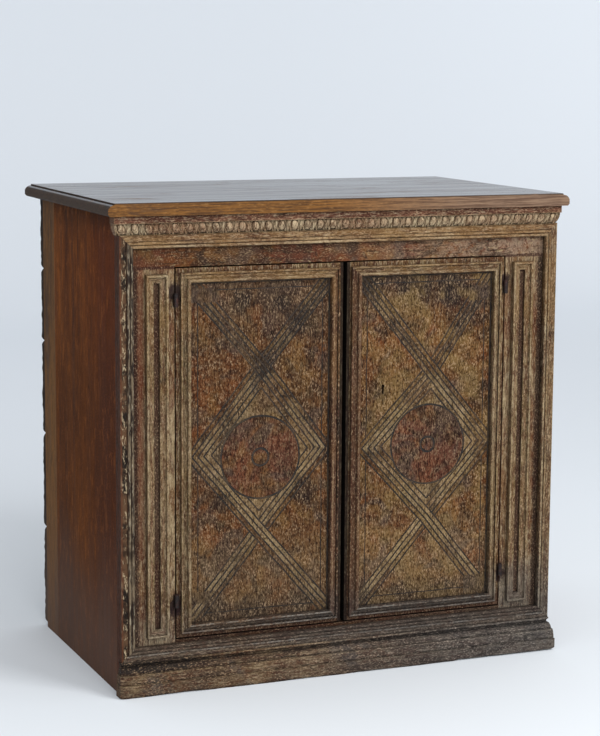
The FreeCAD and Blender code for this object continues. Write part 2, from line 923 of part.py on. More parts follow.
def make_hinges(side_name, side):
    """Two hinges on one door, grouped as frame leaves, door leaves and pins."""
    frame_leaves = []
    door_leaves = []
    pins = []
    for level, z in (
        ("upper", door_head_z - d.upper_hinge_drop),
        ("lower", door_foot_z + d.lower_hinge_rise),
    ):
        name = f"{side_name}_{level}_hinge"
        frame_near = opening_half - d.leaf_thickness
        frame_leaves.append(hinge_leaf(f"{name}_frame", side, frame_near, z, (-1, 1)))
        door_leaves.append(hinge_leaf(f"{name}_door", side, door_edge, z, (0,)))
        pins.append(hinge_pin(name, side, z))
    keep(group(f"{side_name}_frame_leaf_pair", frame_leaves), f"{side_name}_hinge_frame_leaves")
    keep(group(f"{side_name}_door_leaf_pair", door_leaves), f"{side_name}_hinge_door_leaves")
    keep(group(f"{side_name}_pin_pair", pins), f"{side_name}_hinge_pins")


def make_lock():
    """A box lock behind the right door whose bolt shoots into a keeper on the left door."""
    wall = d.lock_wall
    case_left = meeting_edge + d.lock_edge_inset
    case_xs = span_between(case_left, d.lock_width)
    case_ys = span_between(door_rear_y, d.lock_depth)
    case_zs = centred(keyhole_z, d.lock_height)
    shell = box("lock_shell", case_xs, case_ys, case_zs)
    hollow = box(
        "lock_hollow",
        (case_xs[0] + wall, case_xs[1] - wall),
        (case_ys[0], case_ys[1] - wall),
        (case_zs[0] + wall, case_zs[1] - wall),
    )
    guide_xs = span_between(case_left + d.lock_guide_inset, wall)
    guide = box("lock_guide", guide_xs, case_ys, (keyhole_z + d.lock_post_radius * 2, case_zs[1]))
    post_x = meeting_edge + d.keyhole_offset
    post = rod("lock_post", d.lock_post_radius, d.lock_depth, (post_x, door_rear_y, keyhole_z), BACK)
    whole = fuse("lock_whole", [cut("lock_tray", shell, hollow), guide, post])
    bolt_start = case_left - d.lock_bolt_nose
    bolt_xs = span_between(bolt_start, d.lock_bolt_length)
    bolt_ys = centred(door_rear_y + d.lock_depth / 2, d.lock_bolt_thickness)
    bolt_z = keyhole_z + d.lock_bolt_rise
    bolt_zs = centred(bolt_z, d.lock_bolt_height)
    slack = d.sliding_clearance
    passage = box(
        "lock_passage",
        (case_left, guide_xs[1]),
        (bolt_ys[0] - slack, bolt_ys[1] + slack),
        (bolt_zs[0] - slack, bolt_zs[1] + slack),
    )
    keep(cut("lock_case_cut", whole, passage), "lock_case")
    bar = box("lock_bar", bolt_xs, bolt_ys, bolt_zs)
    notch = box(
        "lock_bolt_notch",
        centred(post_x, d.lock_notch),
        bolt_ys,
        span_between(bolt_zs[0], d.lock_notch),
    )
    keep(cut("lock_bolt_cut", bar, notch), "lock_bolt")
    keeper_near = meeting_edge + d.keeper_edge_inset
    keeper_xs = across(-1, keeper_near, keeper_near + d.keeper_width)
    room = d.keeper_clearance
    gap_ys = (bolt_ys[0] - room, bolt_ys[1] + room)
    gap_zs = (bolt_zs[0] - room, bolt_zs[1] + room)
    loop = box(
        "keeper_loop",
        keeper_xs,
        (door_rear_y, gap_ys[1] + d.keeper_wall),
        (gap_zs[0] - d.keeper_wall, gap_zs[1] + d.keeper_wall),
    )
    keep(cut("keeper_cut", loop, box("keeper_gap", keeper_xs, gap_ys, gap_zs)), "lock_keeper")


def make_door_bolt():
    """A slide bolt inside the left door that rises behind the frieze rail."""
    slack = d.sliding_clearance
    middle_x = -meeting_edge - d.door_bolt_edge_inset
    bar_xs = centred(middle_x, d.door_bolt_width)
    bar_ys = span_between(door_rear_y + d.door_bolt_offset, d.door_bolt_thickness)
    bar_head = door_head_z - d.door_bolt_top_gap
    bar_foot = bar_head - d.door_bolt_length
    lower_guide_zs = span_between(bar_foot + d.guide_rise, d.guide_height)
    knob_z = lower_guide_zs[1] + d.knob_radius + slack
    upper_guide_foot = knob_z + d.knob_radius + d.door_bolt_travel + slack
    upper_guide_zs = span_between(upper_guide_foot, d.guide_height)
    bar = box("door_bolt_bar", bar_xs, bar_ys, (bar_foot, bar_head))
    knob = rod("door_bolt_knob", d.knob_radius, d.knob_length, (middle_x, bar_ys[0], knob_z), BACK)
    keep(fuse("door_bolt_whole", [bar, knob]), "left_door_bolt")
    guides = []
    for level, zs in (("lower", lower_guide_zs), ("upper", upper_guide_zs)):
        loop = box(
            f"{level}_guide_loop",
            (bar_xs[0] - d.guide_wall, bar_xs[1] + d.guide_wall),
            (door_rear_y, bar_ys[1] + d.guide_wall),
            zs,
        )
        gap = box(
            f"{level}_guide_gap",
            (bar_xs[0] - slack, bar_xs[1] + slack),
            (bar_ys[0] - slack, bar_ys[1] + slack),
            zs,
        )
        guides.append(cut(f"{level}_guide", loop, gap))
    keep(group("door_bolt_guides", guides), "left_door_bolt_guides")


def check_document():
    """Stop before anything is written if an object failed or a shape is not sound."""
    for obj in doc.Objects:
        if "Invalid" in obj.State or "Error" in obj.State:
            raise RuntimeError(f"{obj.Label} failed: {obj.State}")
    for obj in parts:
        if obj.Shape.isNull() or not obj.Shape.isValid():
            raise RuntimeError(f"{obj.Label} has no sound shape")


def write_parts():
    os.makedirs("parts", exist_ok=True)
    for obj in parts:
        obj.Shape.exportStep(f"parts/{obj.Label}.step")


make_top()
make_back_and_sides()
make_inside()
make_face_frame()
make_frame_mouldings()
make_stile_panels()
for door_name, door_side in SIDES.items():
    make_door(door_name, door_side)
    make_hinges(door_name, door_side)
make_lock()
make_door_bolt()
doc.recompute()
check_document()
write_parts()
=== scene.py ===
import math

import bpy
from mathutils import Matrix, Vector, noise
from mathutils.geometry import delaunay_2d_cdt


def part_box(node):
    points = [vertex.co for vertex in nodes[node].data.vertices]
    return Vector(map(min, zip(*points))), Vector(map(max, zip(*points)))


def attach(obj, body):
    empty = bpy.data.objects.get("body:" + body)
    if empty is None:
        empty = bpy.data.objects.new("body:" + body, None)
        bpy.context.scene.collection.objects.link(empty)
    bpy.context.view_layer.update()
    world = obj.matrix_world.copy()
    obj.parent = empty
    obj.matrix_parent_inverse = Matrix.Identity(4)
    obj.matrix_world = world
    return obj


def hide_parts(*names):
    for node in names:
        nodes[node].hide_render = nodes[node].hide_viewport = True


# The looks of a painted two-door credenza, in metres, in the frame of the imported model.

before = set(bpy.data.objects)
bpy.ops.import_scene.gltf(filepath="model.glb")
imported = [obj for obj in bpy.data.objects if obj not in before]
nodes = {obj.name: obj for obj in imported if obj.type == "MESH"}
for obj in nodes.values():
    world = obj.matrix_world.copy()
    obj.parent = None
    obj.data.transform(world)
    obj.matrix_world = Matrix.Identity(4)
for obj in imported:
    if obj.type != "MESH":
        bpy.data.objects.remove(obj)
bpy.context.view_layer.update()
MM = 0.001


def srgb(red, green, blue):
    """A colour given as screen values from 0 to 255, as linear light with an alpha."""
    linear = []
    for value in (red, green, blue):
        share = value / 255
        linear.append(share / 12.92 if share <= 0.04045 else ((share + 0.055) / 1.055) ** 2.4)
    return (*linear, 1.0)


# Colours of the old paint and wood
PALE = srgb(166, 150, 120)
# Grey-white painted highlight for the crests of the lower door mouldings
GREY_HIGHLIGHT = srgb(150, 144, 134)
CREAM = srgb(152, 132, 98)
CREAM_GREY = srgb(118, 100, 74)
OLIVE = srgb(95, 77, 50)
GOLD = srgb(106, 78, 41)
OCHRE = srgb(80, 51, 27)
ORANGE = srgb(92, 51, 23)
UMBER = srgb(44, 29, 20)
RED_BROWN = srgb(82, 45, 30)
DISC_RED = srgb(94, 54, 35)
PINK_CLAY = srgb(112, 76, 58)
GREY_PURPLE = srgb(60, 51, 46)
# Near-black of grime, also used as painted shade in corners, grooves and gaps
GRIME_AND_SHADE = srgb(18, 14, 12)
BARE_WOOD = srgb(72, 44, 27)
RED_STREAK = srgb(60, 35, 24)
CHALK = srgb(174, 158, 130)
# Near-black painted shade for the hollows of the base
HOLLOW_SHADE = srgb(24, 22, 23)
NO_HUE = srgb(128, 128, 128)
VARNISH = (0.22, 0.15, 0.09, 1.0)

# Dark smudges on the door fields, measured from the middle of the carcass: x, z and radius
FIELD_Y = -0.275
SMUDGES = (
    (-0.177, 0.668, 0.030),
    (-0.100, 0.751, 0.032),
    (-0.138, 0.788, 0.019),
    (-0.225, 0.797, 0.021),
    (-0.252, 0.487, 0.032),
    (-0.274, 0.382, 0.021),
    (-0.087, 0.395, 0.030),
    (-0.285, 0.167, 0.028),
    (-0.197, 0.146, 0.034),
    (-0.096, 0.149, 0.028),
    (0.060, 0.819, 0.032),
    (0.159, 0.811, 0.043),
    (0.252, 0.804, 0.038),
    (0.084, 0.587, 0.017),
    (0.134, 0.144, 0.034),
    (0.229, 0.144, 0.034),
    (0.046, 0.148, 0.026),
)
HINGE_STAINS = {"left": 22 * MM, "right": 14 * MM}


class Paint:
    """A material whose colour, roughness and relief come from noise in the piece's own place."""

    def __init__(self, name):
        self.material = bpy.data.materials.new(name)
        self.material.use_nodes = True
        self.tree = self.material.node_tree
        self.tree.nodes.clear()
        source = self.add("ShaderNodeTexCoord")
        self.place = source.outputs["Object"]
        self.share = source.outputs["Generated"]
        self.normal = source.outputs["Normal"]

    def add(self, kind, inputs=None, **settings):
        """A new node with its settings, and with values or links on its inputs."""
        node = self.tree.nodes.new(kind)
        for key, value in settings.items():
            setattr(node, key, value)
        for key, value in (inputs or {}).items():
            if isinstance(value, bpy.types.NodeSocket):
                self.tree.links.new(value, node.inputs[key])
            else:
                node.inputs[key].default_value = value
        return node

    def noise(self, scale, detail=3.0, rough=0.55, twist=0.0, place=None):
        inputs = {"Vector": place or self.place, "Scale": scale}
        inputs |= {"Detail": detail, "Roughness": rough, "Distortion": twist}
        return self.add("ShaderNodeTexNoise", inputs).outputs["Fac"]

    def drawn(self, axis, fine, long, detail, rough, twist):
        """Noise that is drawn out along one axis."""
        scales = tuple(long if letter == axis else fine for letter in "xyz")
        node = self.add("ShaderNodeMapping", {"Vector": self.place, "Scale": scales})
        return self.noise(1.0, detail, rough, twist, node.outputs["Vector"])

    def ease(self, value, low, high, to_low=0.0, to_high=1.0):
        """The value from low to high as a smooth step."""
        inputs = {"Value": value, "From Min": low, "From Max": high, "To Min": to_low, "To Max": to_high}
        return self.add("ShaderNodeMapRange", inputs, interpolation_type="SMOOTHSTEP").outputs["Result"]

    def math(self, operation, first, second=0.0):
        return self.add("ShaderNodeMath", {0: first, 1: second}, operation=operation).outputs[0]

    def plus(self, first, second):
        return self.math("ADD", first, second)

    def minus(self, first, second):
        return self.math("SUBTRACT", first, second)

    def times(self, first, second):
        return self.math("MULTIPLY", first, second)

    def apart(self, first, second):
        """How far two values are from each other."""
        return self.math("ABSOLUTE", self.minus(first, second))

    def mix(self, share, first, second, blend="MIX"):
        inputs = {0: share, 6: first, 7: second}
        return self.add("ShaderNodeMix", inputs, data_type="RGBA", blend_type=blend).outputs[2]

    def axis(self, letter, vector=None):
        return self.add("ShaderNodeSeparateXYZ", {0: vector or self.place}).outputs[letter]

    def facing(self, letter, sign):
        """One on faces that look along an axis of the piece, none on the others."""
        return self.ease(self.times(self.axis(letter, self.normal), sign), 0.55, 0.85)

    def ends(self):
        """One on faces that look to the left or to the right."""
        return self.math("MAXIMUM", self.facing("X", 1.0), self.facing("X", -1.0))

    def clouds(self, value, low, high, first, second):
        """One colour that goes over into another as the value goes from low to high."""
        return self.mix(self.ease(value, low, high), first, second)

    def layer(self, colour, share, amount, over):
        """The colour with another laid over it, by a share of at most the given amount."""
        return self.mix(self.times(share, amount), colour, over)

    def layered(self, colour, *layers):
        """The colour under others, each laid on as its value goes from low to high."""
        for value, low, high, amount, over in layers:
            colour = self.layer(colour, self.ease(value, low, high), amount, over)
        return colour

    def near(self, spot, stray):
        """One close to a spot, none beyond its radius, with a ragged outline."""
        x, z, radius = spot
        inputs = {0: self.place, 1: (x, FIELD_Y, z)}
        way = self.add("ShaderNodeVectorMath", inputs, operation="DISTANCE").outputs["Value"]
        ragged_way = self.plus(way, self.times(self.minus(stray, 0.5), radius * 2.4))
        return self.ease(ragged_way, radius * 1.35, radius * 0.55)

    def worn_and_highlit_edges(self, radius):
        """One along sharp edges, none on flat faces: where edges are rubbed pale and carry a painted
        highlight.
        """
        rounded = self.add("ShaderNodeBevel", {"Radius": radius}, samples=4)
        flat = self.add("ShaderNodeNewGeometry")
        inputs = {0: rounded.outputs["Normal"], 1: flat.outputs["Normal"]}
        turned = self.add("ShaderNodeVectorMath", inputs, operation="DOT_PRODUCT").outputs["Value"]
        return self.ease(turned, 0.985, 0.86)

    def crevice_shade(self, reach):
        """Painted shade: one deep in corners and grooves, none in the open."""
        node = self.add("ShaderNodeAmbientOcclusion", {"Distance": reach}, samples=4)
        return self.ease(node.outputs["AO"], 0.75, 0.2)

    def finish(self, colour, rough, relief, depth, shine=0.5, metal=0.0):
        bump = self.add("ShaderNodeBump", {"Strength": 0.8, "Distance": depth, "Height": relief})
        inputs = {"Base Color": colour, "Roughness": rough, "Metallic": metal}
        inputs |= {"Specular IOR Level": shine, "Normal": bump.outputs["Normal"]}
        shader = self.add("ShaderNodeBsdfPrincipled", inputs)
        self.add("ShaderNodeOutputMaterial", {"Surface": shader.outputs["BSDF"]})
        return self.material


def carcass_middle():
    return (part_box("left_stile")[0][0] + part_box("right_stile")[1][0]) / 2


def span_of(node, axis):
    """The length of a node's box along an axis."""
    low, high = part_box(node)
    return high[axis] - low[axis]


# Lines of the mouldings

FRAME_WIDTH = span_of("frame_moulding_left", 0)
DOOR_WIDTH = span_of("left_door_moulding_left", 0)
PANEL_WIDTH = span_of("left_panel_long_mouldings", 0)
PANEL_HEIGHT = span_of("left_panel_end_mouldings", 2)
BASE_HEIGHT = 70 * MM

# Where the distance across a moulding is measured from: an axis of its box and an end of that axis
EDGES = {
    "top": ("Z", "far"),
    "bottom": ("Z", "near"),
    "left": ("X", "near"),
    "right": ("X", "far"),
    "ends": ("Z", "both"),
    "long": ("X", "both"),
}

# Lines along the members of the mouldings: distance and half width in mm, strength and colour.
# Pale lines on the crests are painted highlight with kept paint; dark lines in the grooves and along
# edges are painted shade with grime; the wide umber band of the foot lines is the rail's colour
FRAME_LINES = (
    (1.0, 1.0, 0.4, CREAM),
    (13.8, 1.3, 0.65, GRIME_AND_SHADE),
    (17.5, 1.6, 0.4, CREAM),
    (21.0, 0.9, 0.55, UMBER),
    (24.5, 2.0, 0.6, PALE),
    (28.0, 1.4, 0.8, GRIME_AND_SHADE),
)
CHIPPED_LINES = (
    (14.0, 1.3, 0.9, GRIME_AND_SHADE),
    (21.0, 0.9, 0.8, GRIME_AND_SHADE),
    (27.5, 1.6, 0.9, GRIME_AND_SHADE),
)
FOOT_LINES = (
    (1.5, 1.2, 0.6, GRIME_AND_SHADE),
    (5.0, 1.3, 0.4, CREAM_GREY),
    (8.0, 0.9, 0.6, GRIME_AND_SHADE),
    (11.0, 1.5, 0.5, GREY_HIGHLIGHT),
    (14.5, 1.4, 0.7, GRIME_AND_SHADE),
    (25.5, 4.0, 0.8, UMBER),
)
DOOR_LINES = (
    (2.0, 1.2, 0.2, CREAM),
    (5.0, 1.2, 0.35, UMBER),
    (11.8, 1.0, 0.35, GRIME_AND_SHADE),
    (15.5, 2.0, 0.3, PALE),
    (20.0, 1.4, 0.7, GRIME_AND_SHADE),
)
DOOR_FOOT_LINES = (
    (2.0, 1.2, 0.55, GREY_HIGHLIGHT),
    (5.5, 1.8, 0.85, GRIME_AND_SHADE),
    (9.0, 1.4, 0.3, GREY_HIGHLIGHT),
    (12.5, 1.8, 0.85, GRIME_AND_SHADE),
    (16.5, 1.3, 0.7, GREY_HIGHLIGHT),
    (19.5, 1.6, 0.85, GRIME_AND_SHADE),
)
MEETING_LINES = (
    (0.0, 2.4, 0.8, GRIME_AND_SHADE),
    (5.0, 1.2, 0.35, UMBER),
    (11.8, 1.0, 0.45, GRIME_AND_SHADE),
    (15.5, 1.4, 0.3, CREAM),
    (20.0, 1.4, 0.7, GRIME_AND_SHADE),
)
SHADED_LINES = (
    (0.0, 5.0, 0.9, GRIME_AND_SHADE),
    (0.0, 4.0, 0.8, GRIME_AND_SHADE),
    *MEETING_LINES[2:],
)
PANEL_LINES = (
    (2.5, 1.5, 0.4, PALE),
    (6.2, 1.2, 0.5, GRIME_AND_SHADE),
    (10.0, 2.0, 0.4, PINK_CLAY),
    (17.0, 1.4, 0.5, GRIME_AND_SHADE),
)
BASE_LINES = (
    (0.0, 3.0, 0.6, GRIME_AND_SHADE),
    (25.6, 1.2, 0.5, CREAM_GREY),
    (28.4, 1.6, 0.85, GRIME_AND_SHADE),
    (44.6, 1.6, 0.6, CREAM_GREY),
    (48.0, 2.0, 0.9, GRIME_AND_SHADE),
    (61.0, 5.0, 0.8, HOLLOW_SHADE),
    (69.0, 1.2, 0.3, CREAM),
)


# Materials


class Coat(Paint):
    """Old paint: the noises that all the painted pieces share."""

    def __init__(self, name, axis):
        super().__init__(name)
        self.grain_axis = axis
        self.broad = self.noise(8, 4, 0.65, 0.3)
        self.streaks = self.drawn(axis, 200, 24, 3, 0.6, 0.4)
        self.flecks = self.drawn(axis, 390, 60, 3, 0.6, 0.2)
        self.grains = self.drawn(axis, 420, 210, 2, 0.65, 0.0)
        self.flakes = self.noise(85, 4, 0.7, 0.5)

    def ragged(self, way, amount):
        """A distance that strays by up to about half the amount."""
        return self.plus(way, self.times(self.minus(self.flakes, 0.5), amount))

    def strayed(self, letter, amount):
        """The place along an axis, ragged."""
        return self.ragged(self.axis(letter), amount)

    def from_edge(self, edge, length):
        """The distance from an edge of the piece's box, which has the given length, a little ragged."""
        letter, end = EDGES[edge]
        share = self.axis(letter, self.share)
        if end == "far":
            share = self.minus(1.0, share)
        if end == "both":
            share = self.minus(0.5, self.apart(share, 0.5))
        return self.ragged(self.times(share, length), 3 * MM)

    def lined(self, colour, way, lines):
        """The colour with lines drawn at given distances, worn through here and there."""
        rubbed = self.drawn(self.grain_axis, 60, 14, 4, 0.7, 0.3)
        kept = self.times(self.ease(self.flakes, 0.66, 0.46), self.ease(rubbed, 0.36, 0.62, 0.15, 1.0))
        for middle, half, amount, over in lines:
            line = self.ease(self.apart(way, middle * MM), half * 1.4 * MM, half * 0.6 * MM)
            colour = self.layer(colour, self.times(line, kept), amount, over)
        return colour

    def weathered(self, coat, second, specks, dirt=1.0):
        """Two coats in clouds, streaked and flaked along the grain."""
        colour = self.clouds(self.broad, 0.38, 0.62, coat, second)
        colour = self.layered(colour, (self.streaks, 0.46, 0.60, 0.9 * dirt, RED_STREAK))
        lost = self.times(self.ease(self.flakes, 0.50, 0.58), self.ease(self.noise(20, 3), 0.36, 0.58))
        colour = self.layer(colour, lost, 0.85 * dirt, BARE_WOOD)
        return self.layered(
            colour,
            (self.flecks, 0.52, 0.64, specks, CHALK),
            (self.flecks, 0.46, 0.34, 0.6 * dirt, UMBER),
        )

    def mottled(self, coat, second):
        """A worn ground with golden, grey and dark clouds."""
        return self.layered(
            self.clouds(self.noise(9, 2, 0.55, 0.4), 0.38, 0.62, coat, second),
            (self.noise(13, 2, 0.55, 0.5), 0.48, 0.64, 0.5, GOLD),
            (self.noise(17, 2, 0.55, 0.6), 0.48, 0.64, 0.7, GREY_PURPLE),
            (self.noise(21, 2, 0.55, 0.6), 0.52, 0.66, 0.7, UMBER),
        )

    def greyed(self, colour, share):
        """The colour with less of its hue, as under grey dust."""
        return self.mix(share, colour, NO_HUE, "SATURATION")

    def low_dirt(self, colour, amount):
        """The colour darker and greyer towards the floor, most of all on the right."""
        height = self.plus(self.axis("Z"), self.times(self.broad, 0.2))
        to_right = self.ease(self.axis("X"), -0.3, 0.15, 0.45, 1.0)
        low = self.times(self.ease(height, 0.36, 0.18), to_right)
        colour = self.layer(colour, low, amount, srgb(34, 31, 30))
        return self.greyed(colour, self.times(low, 0.35))

    def glazed(self, colour, value, low, high, amount):
        """The colour darkened as under brown varnish, as the value goes from low to high."""
        share = self.times(self.ease(value, low, high), amount)
        return self.mix(share, colour, VARNISH, "MULTIPLY")

    def peppered(self, colour, light, dark):
        """The colour with fine pale and dark grains, the pale ones thicker in clouds."""
        thick = self.ease(self.noise(32, 3, 0.6), 0.34, 0.62, 0.45, 1.0)
        pale = self.times(self.ease(self.grains, 0.53, 0.68), thick)
        colour = self.layer(colour, pale, light, srgb(176, 148, 118))
        return self.glazed(colour, self.grains, 0.47, 0.33, dark)

    def corner_shaded(self, colour, reach, amount):
        """The colour darkened in the corners: painted shade, with grime."""
        return self.layer(colour, self.crevice_shade(reach * MM), amount, GRIME_AND_SHADE)

    def pitted(self, colour, amount, corners=0.95):
        """The colour with grains, dark pits along the grain, and painted shade with grime in the corners.
        """
        pits = self.drawn(self.grain_axis, 45, 15.75, 4, 0.7, 1.0)
        colour = self.layered(self.peppered(colour, 0.5, 0.55), (pits, 0.60, 0.70, amount, GRIME_AND_SHADE))
        return self.corner_shaded(colour, 14, corners)

    def hinge_stains(self, colour):
        """The colour with dark stains where the hinges sit."""
        for side, radius in HINGE_STAINS.items():
            low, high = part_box(f"{side}_hinge_pins")
            for z in (low[2], high[2]):
                stain = self.near(((low[0] + high[0]) / 2, z, radius), self.flakes)
                colour = self.layer(colour, stain, 0.9, srgb(30, 19, 22))
        return colour

    def dry(self, colour, depth):
        """The finished material, dull and rough, with its relief in mm."""
        rough = self.ease(self.grains, 0.3, 0.7, 0.6, 0.9)
        relief = self.plus(self.flecks, self.plus(self.streaks, self.flakes))
        return self.finish(colour, rough, relief, depth * MM, 0.08)


def old_paint(name, axis, coat, second, specks=0.45, dirt=1.0):
    """Flaked distemper over brown wood, streaked along the grain, pale on its edges as wear and painted
    highlight, and dark in its corners as painted shade.
    """
    p = Coat(name, axis)
    colour = p.weathered(coat, second, specks, dirt)
    # Pale edges: rubbed paint and painted highlight
    colour = p.layer(colour, p.worn_and_highlit_edges(3 * MM), 0.45, CREAM)
    return p.dry(p.pitted(colour, 0.7 * dirt), 1.2)


def lined_paint(name, edge, length, lines, coats=(CREAM_GREY, OLIVE), specks=0.35, dirt=0.5):
    """Old paint on a moulding: painted highlight on the crests of its members and painted shade between
    them.
    """
    p = Coat(name, "x" if EDGES[edge][0] == "Z" else "z")
    colour = p.lined(p.weathered(*coats, specks, 0.8), p.from_edge(edge, length), lines)
    high = p.ease(p.strayed("Z", 0.3), 0.45, 0.95, 0.3, 1.0)
    golden = p.times(p.ease(p.noise(7, 3, 0.6, 0.5), 0.40, 0.62), high)
    colour = p.layer(colour, golden, 0.45, srgb(116, 86, 48))
    return p.dry(p.low_dirt(p.pitted(colour, 0.6), dirt), 1.2)


def door_edge_paint(name):
    """The door boards: paint outside their mouldings, black painted shade with grime on the meeting edges
    and by the gap, bare wood inside.
    """
    p = Coat(name, "z")
    colour = p.weathered(OLIVE, OCHRE, 0.45)
    colour = p.layered(colour, (p.strayed("Z", 0.01), 0.16, 0.13, 0.8, srgb(48, 28, 22)))
    colour = p.hinge_stains(p.pitted(colour, 0.7, 0.6))
    # Painted shade with grime on the board edges where the doors meet
    meeting = p.times(p.ends(), p.ease(p.apart(p.axis("X"), 0.0), 0.3, 0.2))
    colour = p.layer(colour, meeting, 0.95, GRIME_AND_SHADE)
    # Painted shadow along the gap on the fronts of the boards
    from_gap = p.apart(p.axis("X"), carcass_middle())
    colour = p.layered(colour, (from_gap, 0.014, 0.009, 0.85, GRIME_AND_SHADE))
    grain = p.drawn("z", 55, 2.6, 6, 0.65, 0.6)
    bare = p.clouds(grain, 0.36, 0.64, srgb(68, 48, 32), srgb(110, 81, 52))
    bare = p.layered(bare, (p.streaks, 0.54, 0.66, 0.4, srgb(56, 40, 28)))
    return p.dry(p.mix(p.facing("Y", 1.0), colour, bare), 0.8)


def frieze_colour(p):
    """Red-brown clouds with a pale wash that thickens to the right, dark below the doors."""
    wash = p.times(p.ease(p.axis("X"), -0.05, 0.36), p.ease(p.flakes, 0.32, 0.58))
    return p.layered(
        p.layer(p.mottled(RED_BROWN, ORANGE), wash, 0.8, srgb(126, 106, 88)),
        (p.streaks, 0.52, 0.64, 0.5, UMBER),
        (p.drawn("x", 90, 14, 4, 0.7, 0.6), 0.53, 0.61, 0.7, UMBER),
        (p.drawn("x", 150, 40, 4, 0.75, 0.8), 0.58, 0.64, 0.6, CREAM),
        (p.axis("X"), 0.0, -0.3, 0.25, UMBER),
        (p.axis("Z"), 0.3, 0.12, 0.7, srgb(40, 25, 20)),
    )


def frieze_paint(name):
    """The rails above and below the doors."""
    p = Coat(name, "x")
    colour = p.layered(frieze_colour(p), (p.noise(24, 4, 0.7, 0.8), 0.56, 0.66, 0.6, GRIME_AND_SHADE))
    # Painted shade with grime in the corners
    return p.dry(p.corner_shaded(p.peppered(colour, 0.4, 0.6), 16, 0.95), 1.2)


def panel_slot_shade(p, outside):
    """Painted shade: one in the slot of the narrow panels, none beside it."""
    low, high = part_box("right_panel_long_mouldings")
    from_slot = p.apart(outside, (low[0] + high[0]) / 2 - carcass_middle())
    height = p.axis("Z")
    beside = p.times(p.ease(height, low[2], low[2] + 0.02), p.ease(height, high[2], high[2] - 0.02))
    return p.times(p.ease(from_slot, 0.012, 0.008), beside)


def stile_paint(name):
    """Streaked paint on the stiles: red above the doors and on the outer edge, black by the mouldings as
    painted shadow with grime, painted shade in the panel slots.
    """
    p = Coat(name, "z")
    colour = p.layered(
        p.clouds(p.broad, 0.38, 0.62, srgb(132, 114, 86), srgb(98, 70, 44)),
        (p.streaks, 0.46, 0.60, 0.75, RED_STREAK),
        (p.flecks, 0.52, 0.64, 0.45, CHALK),
        (p.flecks, 0.46, 0.34, 0.5, UMBER),
        (p.noise(14, 4, 0.7, 0.6), 0.50, 0.62, 0.5, RED_BROWN),
    )
    colour = p.low_dirt(colour, 0.5)
    outside = p.apart(p.strayed("X", 0.012), carcass_middle())
    warm = p.times(p.ease(outside, 0.432, 0.440), p.ease(p.strayed("Z", 0.1), 0.25, 0.45, 0.2, 1.0))
    warm = p.times(warm, p.ease(p.axis("X"), 0.1, -0.1, 0.2, 1.0))
    colour = p.layer(colour, warm, 0.7, srgb(86, 44, 28))
    # Painted shadow with grime beside the frame mouldings
    colour = p.layered(colour, (outside, 0.444, 0.452, 0.85, srgb(30, 18, 15)))
    # Painted shade in the slot of the narrow panel
    colour = p.layer(colour, panel_slot_shade(p, outside), 0.85, srgb(44, 25, 19))
    colour = p.clouds(p.strayed("Z", 0.02), 0.862, 0.870, colour, frieze_colour(p))
    from_joint = p.apart(p.strayed("Z", 0.006), 0.868)
    colour = p.layered(colour, (from_joint, 0.004, 0.002, 0.8, srgb(46, 25, 19)))
    # Painted shade with grime in the corners
    colour = p.corner_shaded(p.hinge_stains(p.peppered(colour, 0.4, 0.5)), 8, 0.85)
    edge = p.clouds(p.streaks, 0.42, 0.6, srgb(72, 40, 26), UMBER)
    return p.dry(p.layer(colour, p.ends(), 0.95, edge), 1.2)


def chipped_paint(name):
    """The left upright of the frame: dark wood with pale chips outside, a dark grey bead inside."""
    p = Coat(name, "z")
    way = p.from_edge("left", FRAME_WIDTH)
    band = p.clouds(p.noise(30, 4, 0.7), 0.38, 0.58, srgb(30, 24, 20), srgb(80, 58, 41))
    chips = p.drawn("z", 170, 60, 4, 0.7, 0.8)
    band = p.layered(band, (chips, 0.55, 0.61, 0.85, srgb(160, 142, 114)))
    bead = p.clouds(p.streaks, 0.40, 0.60, srgb(104, 90, 72), srgb(40, 33, 29))
    bead = p.layered(bead, (p.flecks, 0.54, 0.63, 0.7, srgb(150, 138, 118)))
    colour = p.clouds(way, 13.5 * MM, 14.5 * MM, band, bead)
    colour = p.layered(colour, (p.noise(14, 4, 0.7), 0.54, 0.66, 0.7, GRIME_AND_SHADE))
    # Painted shade with grime in the grooves of the moulding and beside its inner edge
    colour = p.lined(colour, way, CHIPPED_LINES)
    colour = p.layered(colour, (way, 4.5 * MM, 2.5 * MM, 0.7, srgb(80, 47, 31)))
    colour = p.layer(colour, p.facing("X", -1.0), 0.7, srgb(58, 37, 27))
    # Painted shade with grime in the corners
    return p.dry(p.corner_shaded(colour, 14, 0.9), 1.6)


def base_paint(name):
    """The worn base: grey-brown with painted shade in its hollows, and rubbed edges."""
    p = Coat(name, "x")
    colour = p.weathered(srgb(98, 80, 58), srgb(68, 54, 42), 0.2, 0.8)
    colour = p.layered(colour, (p.noise(6, 4, 0.7, 0.5), 0.50, 0.62, 0.5, srgb(66, 62, 60)))
    colour = p.lined(colour, p.from_edge("bottom", BASE_HEIGHT), BASE_LINES)
    # Painted shade in the hollow under the frame moulding, towards the left end
    hollow = p.ease(p.strayed("Z", 0.02), 0.044, 0.052)
    hollow = p.times(hollow, p.ease(p.strayed("X", 0.1), -0.24, -0.36))
    colour = p.layer(colour, hollow, 0.85, HOLLOW_SHADE)
    worn = p.drawn("x", 50, 9, 4, 0.7, 0.6)
    colour = p.layered(colour, (worn, 0.54, 0.64, 0.7, srgb(44, 32, 26)))
    colour = p.layered(p.pitted(colour, 0.6), (p.axis("X"), -0.2, 0.4, 0.25, srgb(40, 38, 37)))
    return p.dry(p.greyed(colour, p.ease(p.axis("X"), -0.3, 0.45, 0.0, 0.5)), 1.6)


def smudged(p, colour):
    """The colour of a door field with its dark smudges."""
    for x, z, radius in SMUDGES:
        dark = p.near((x + carcass_middle(), z, radius), p.flakes)
        colour = p.layer(colour, dark, 0.8, srgb(28, 23, 22))
    return colour


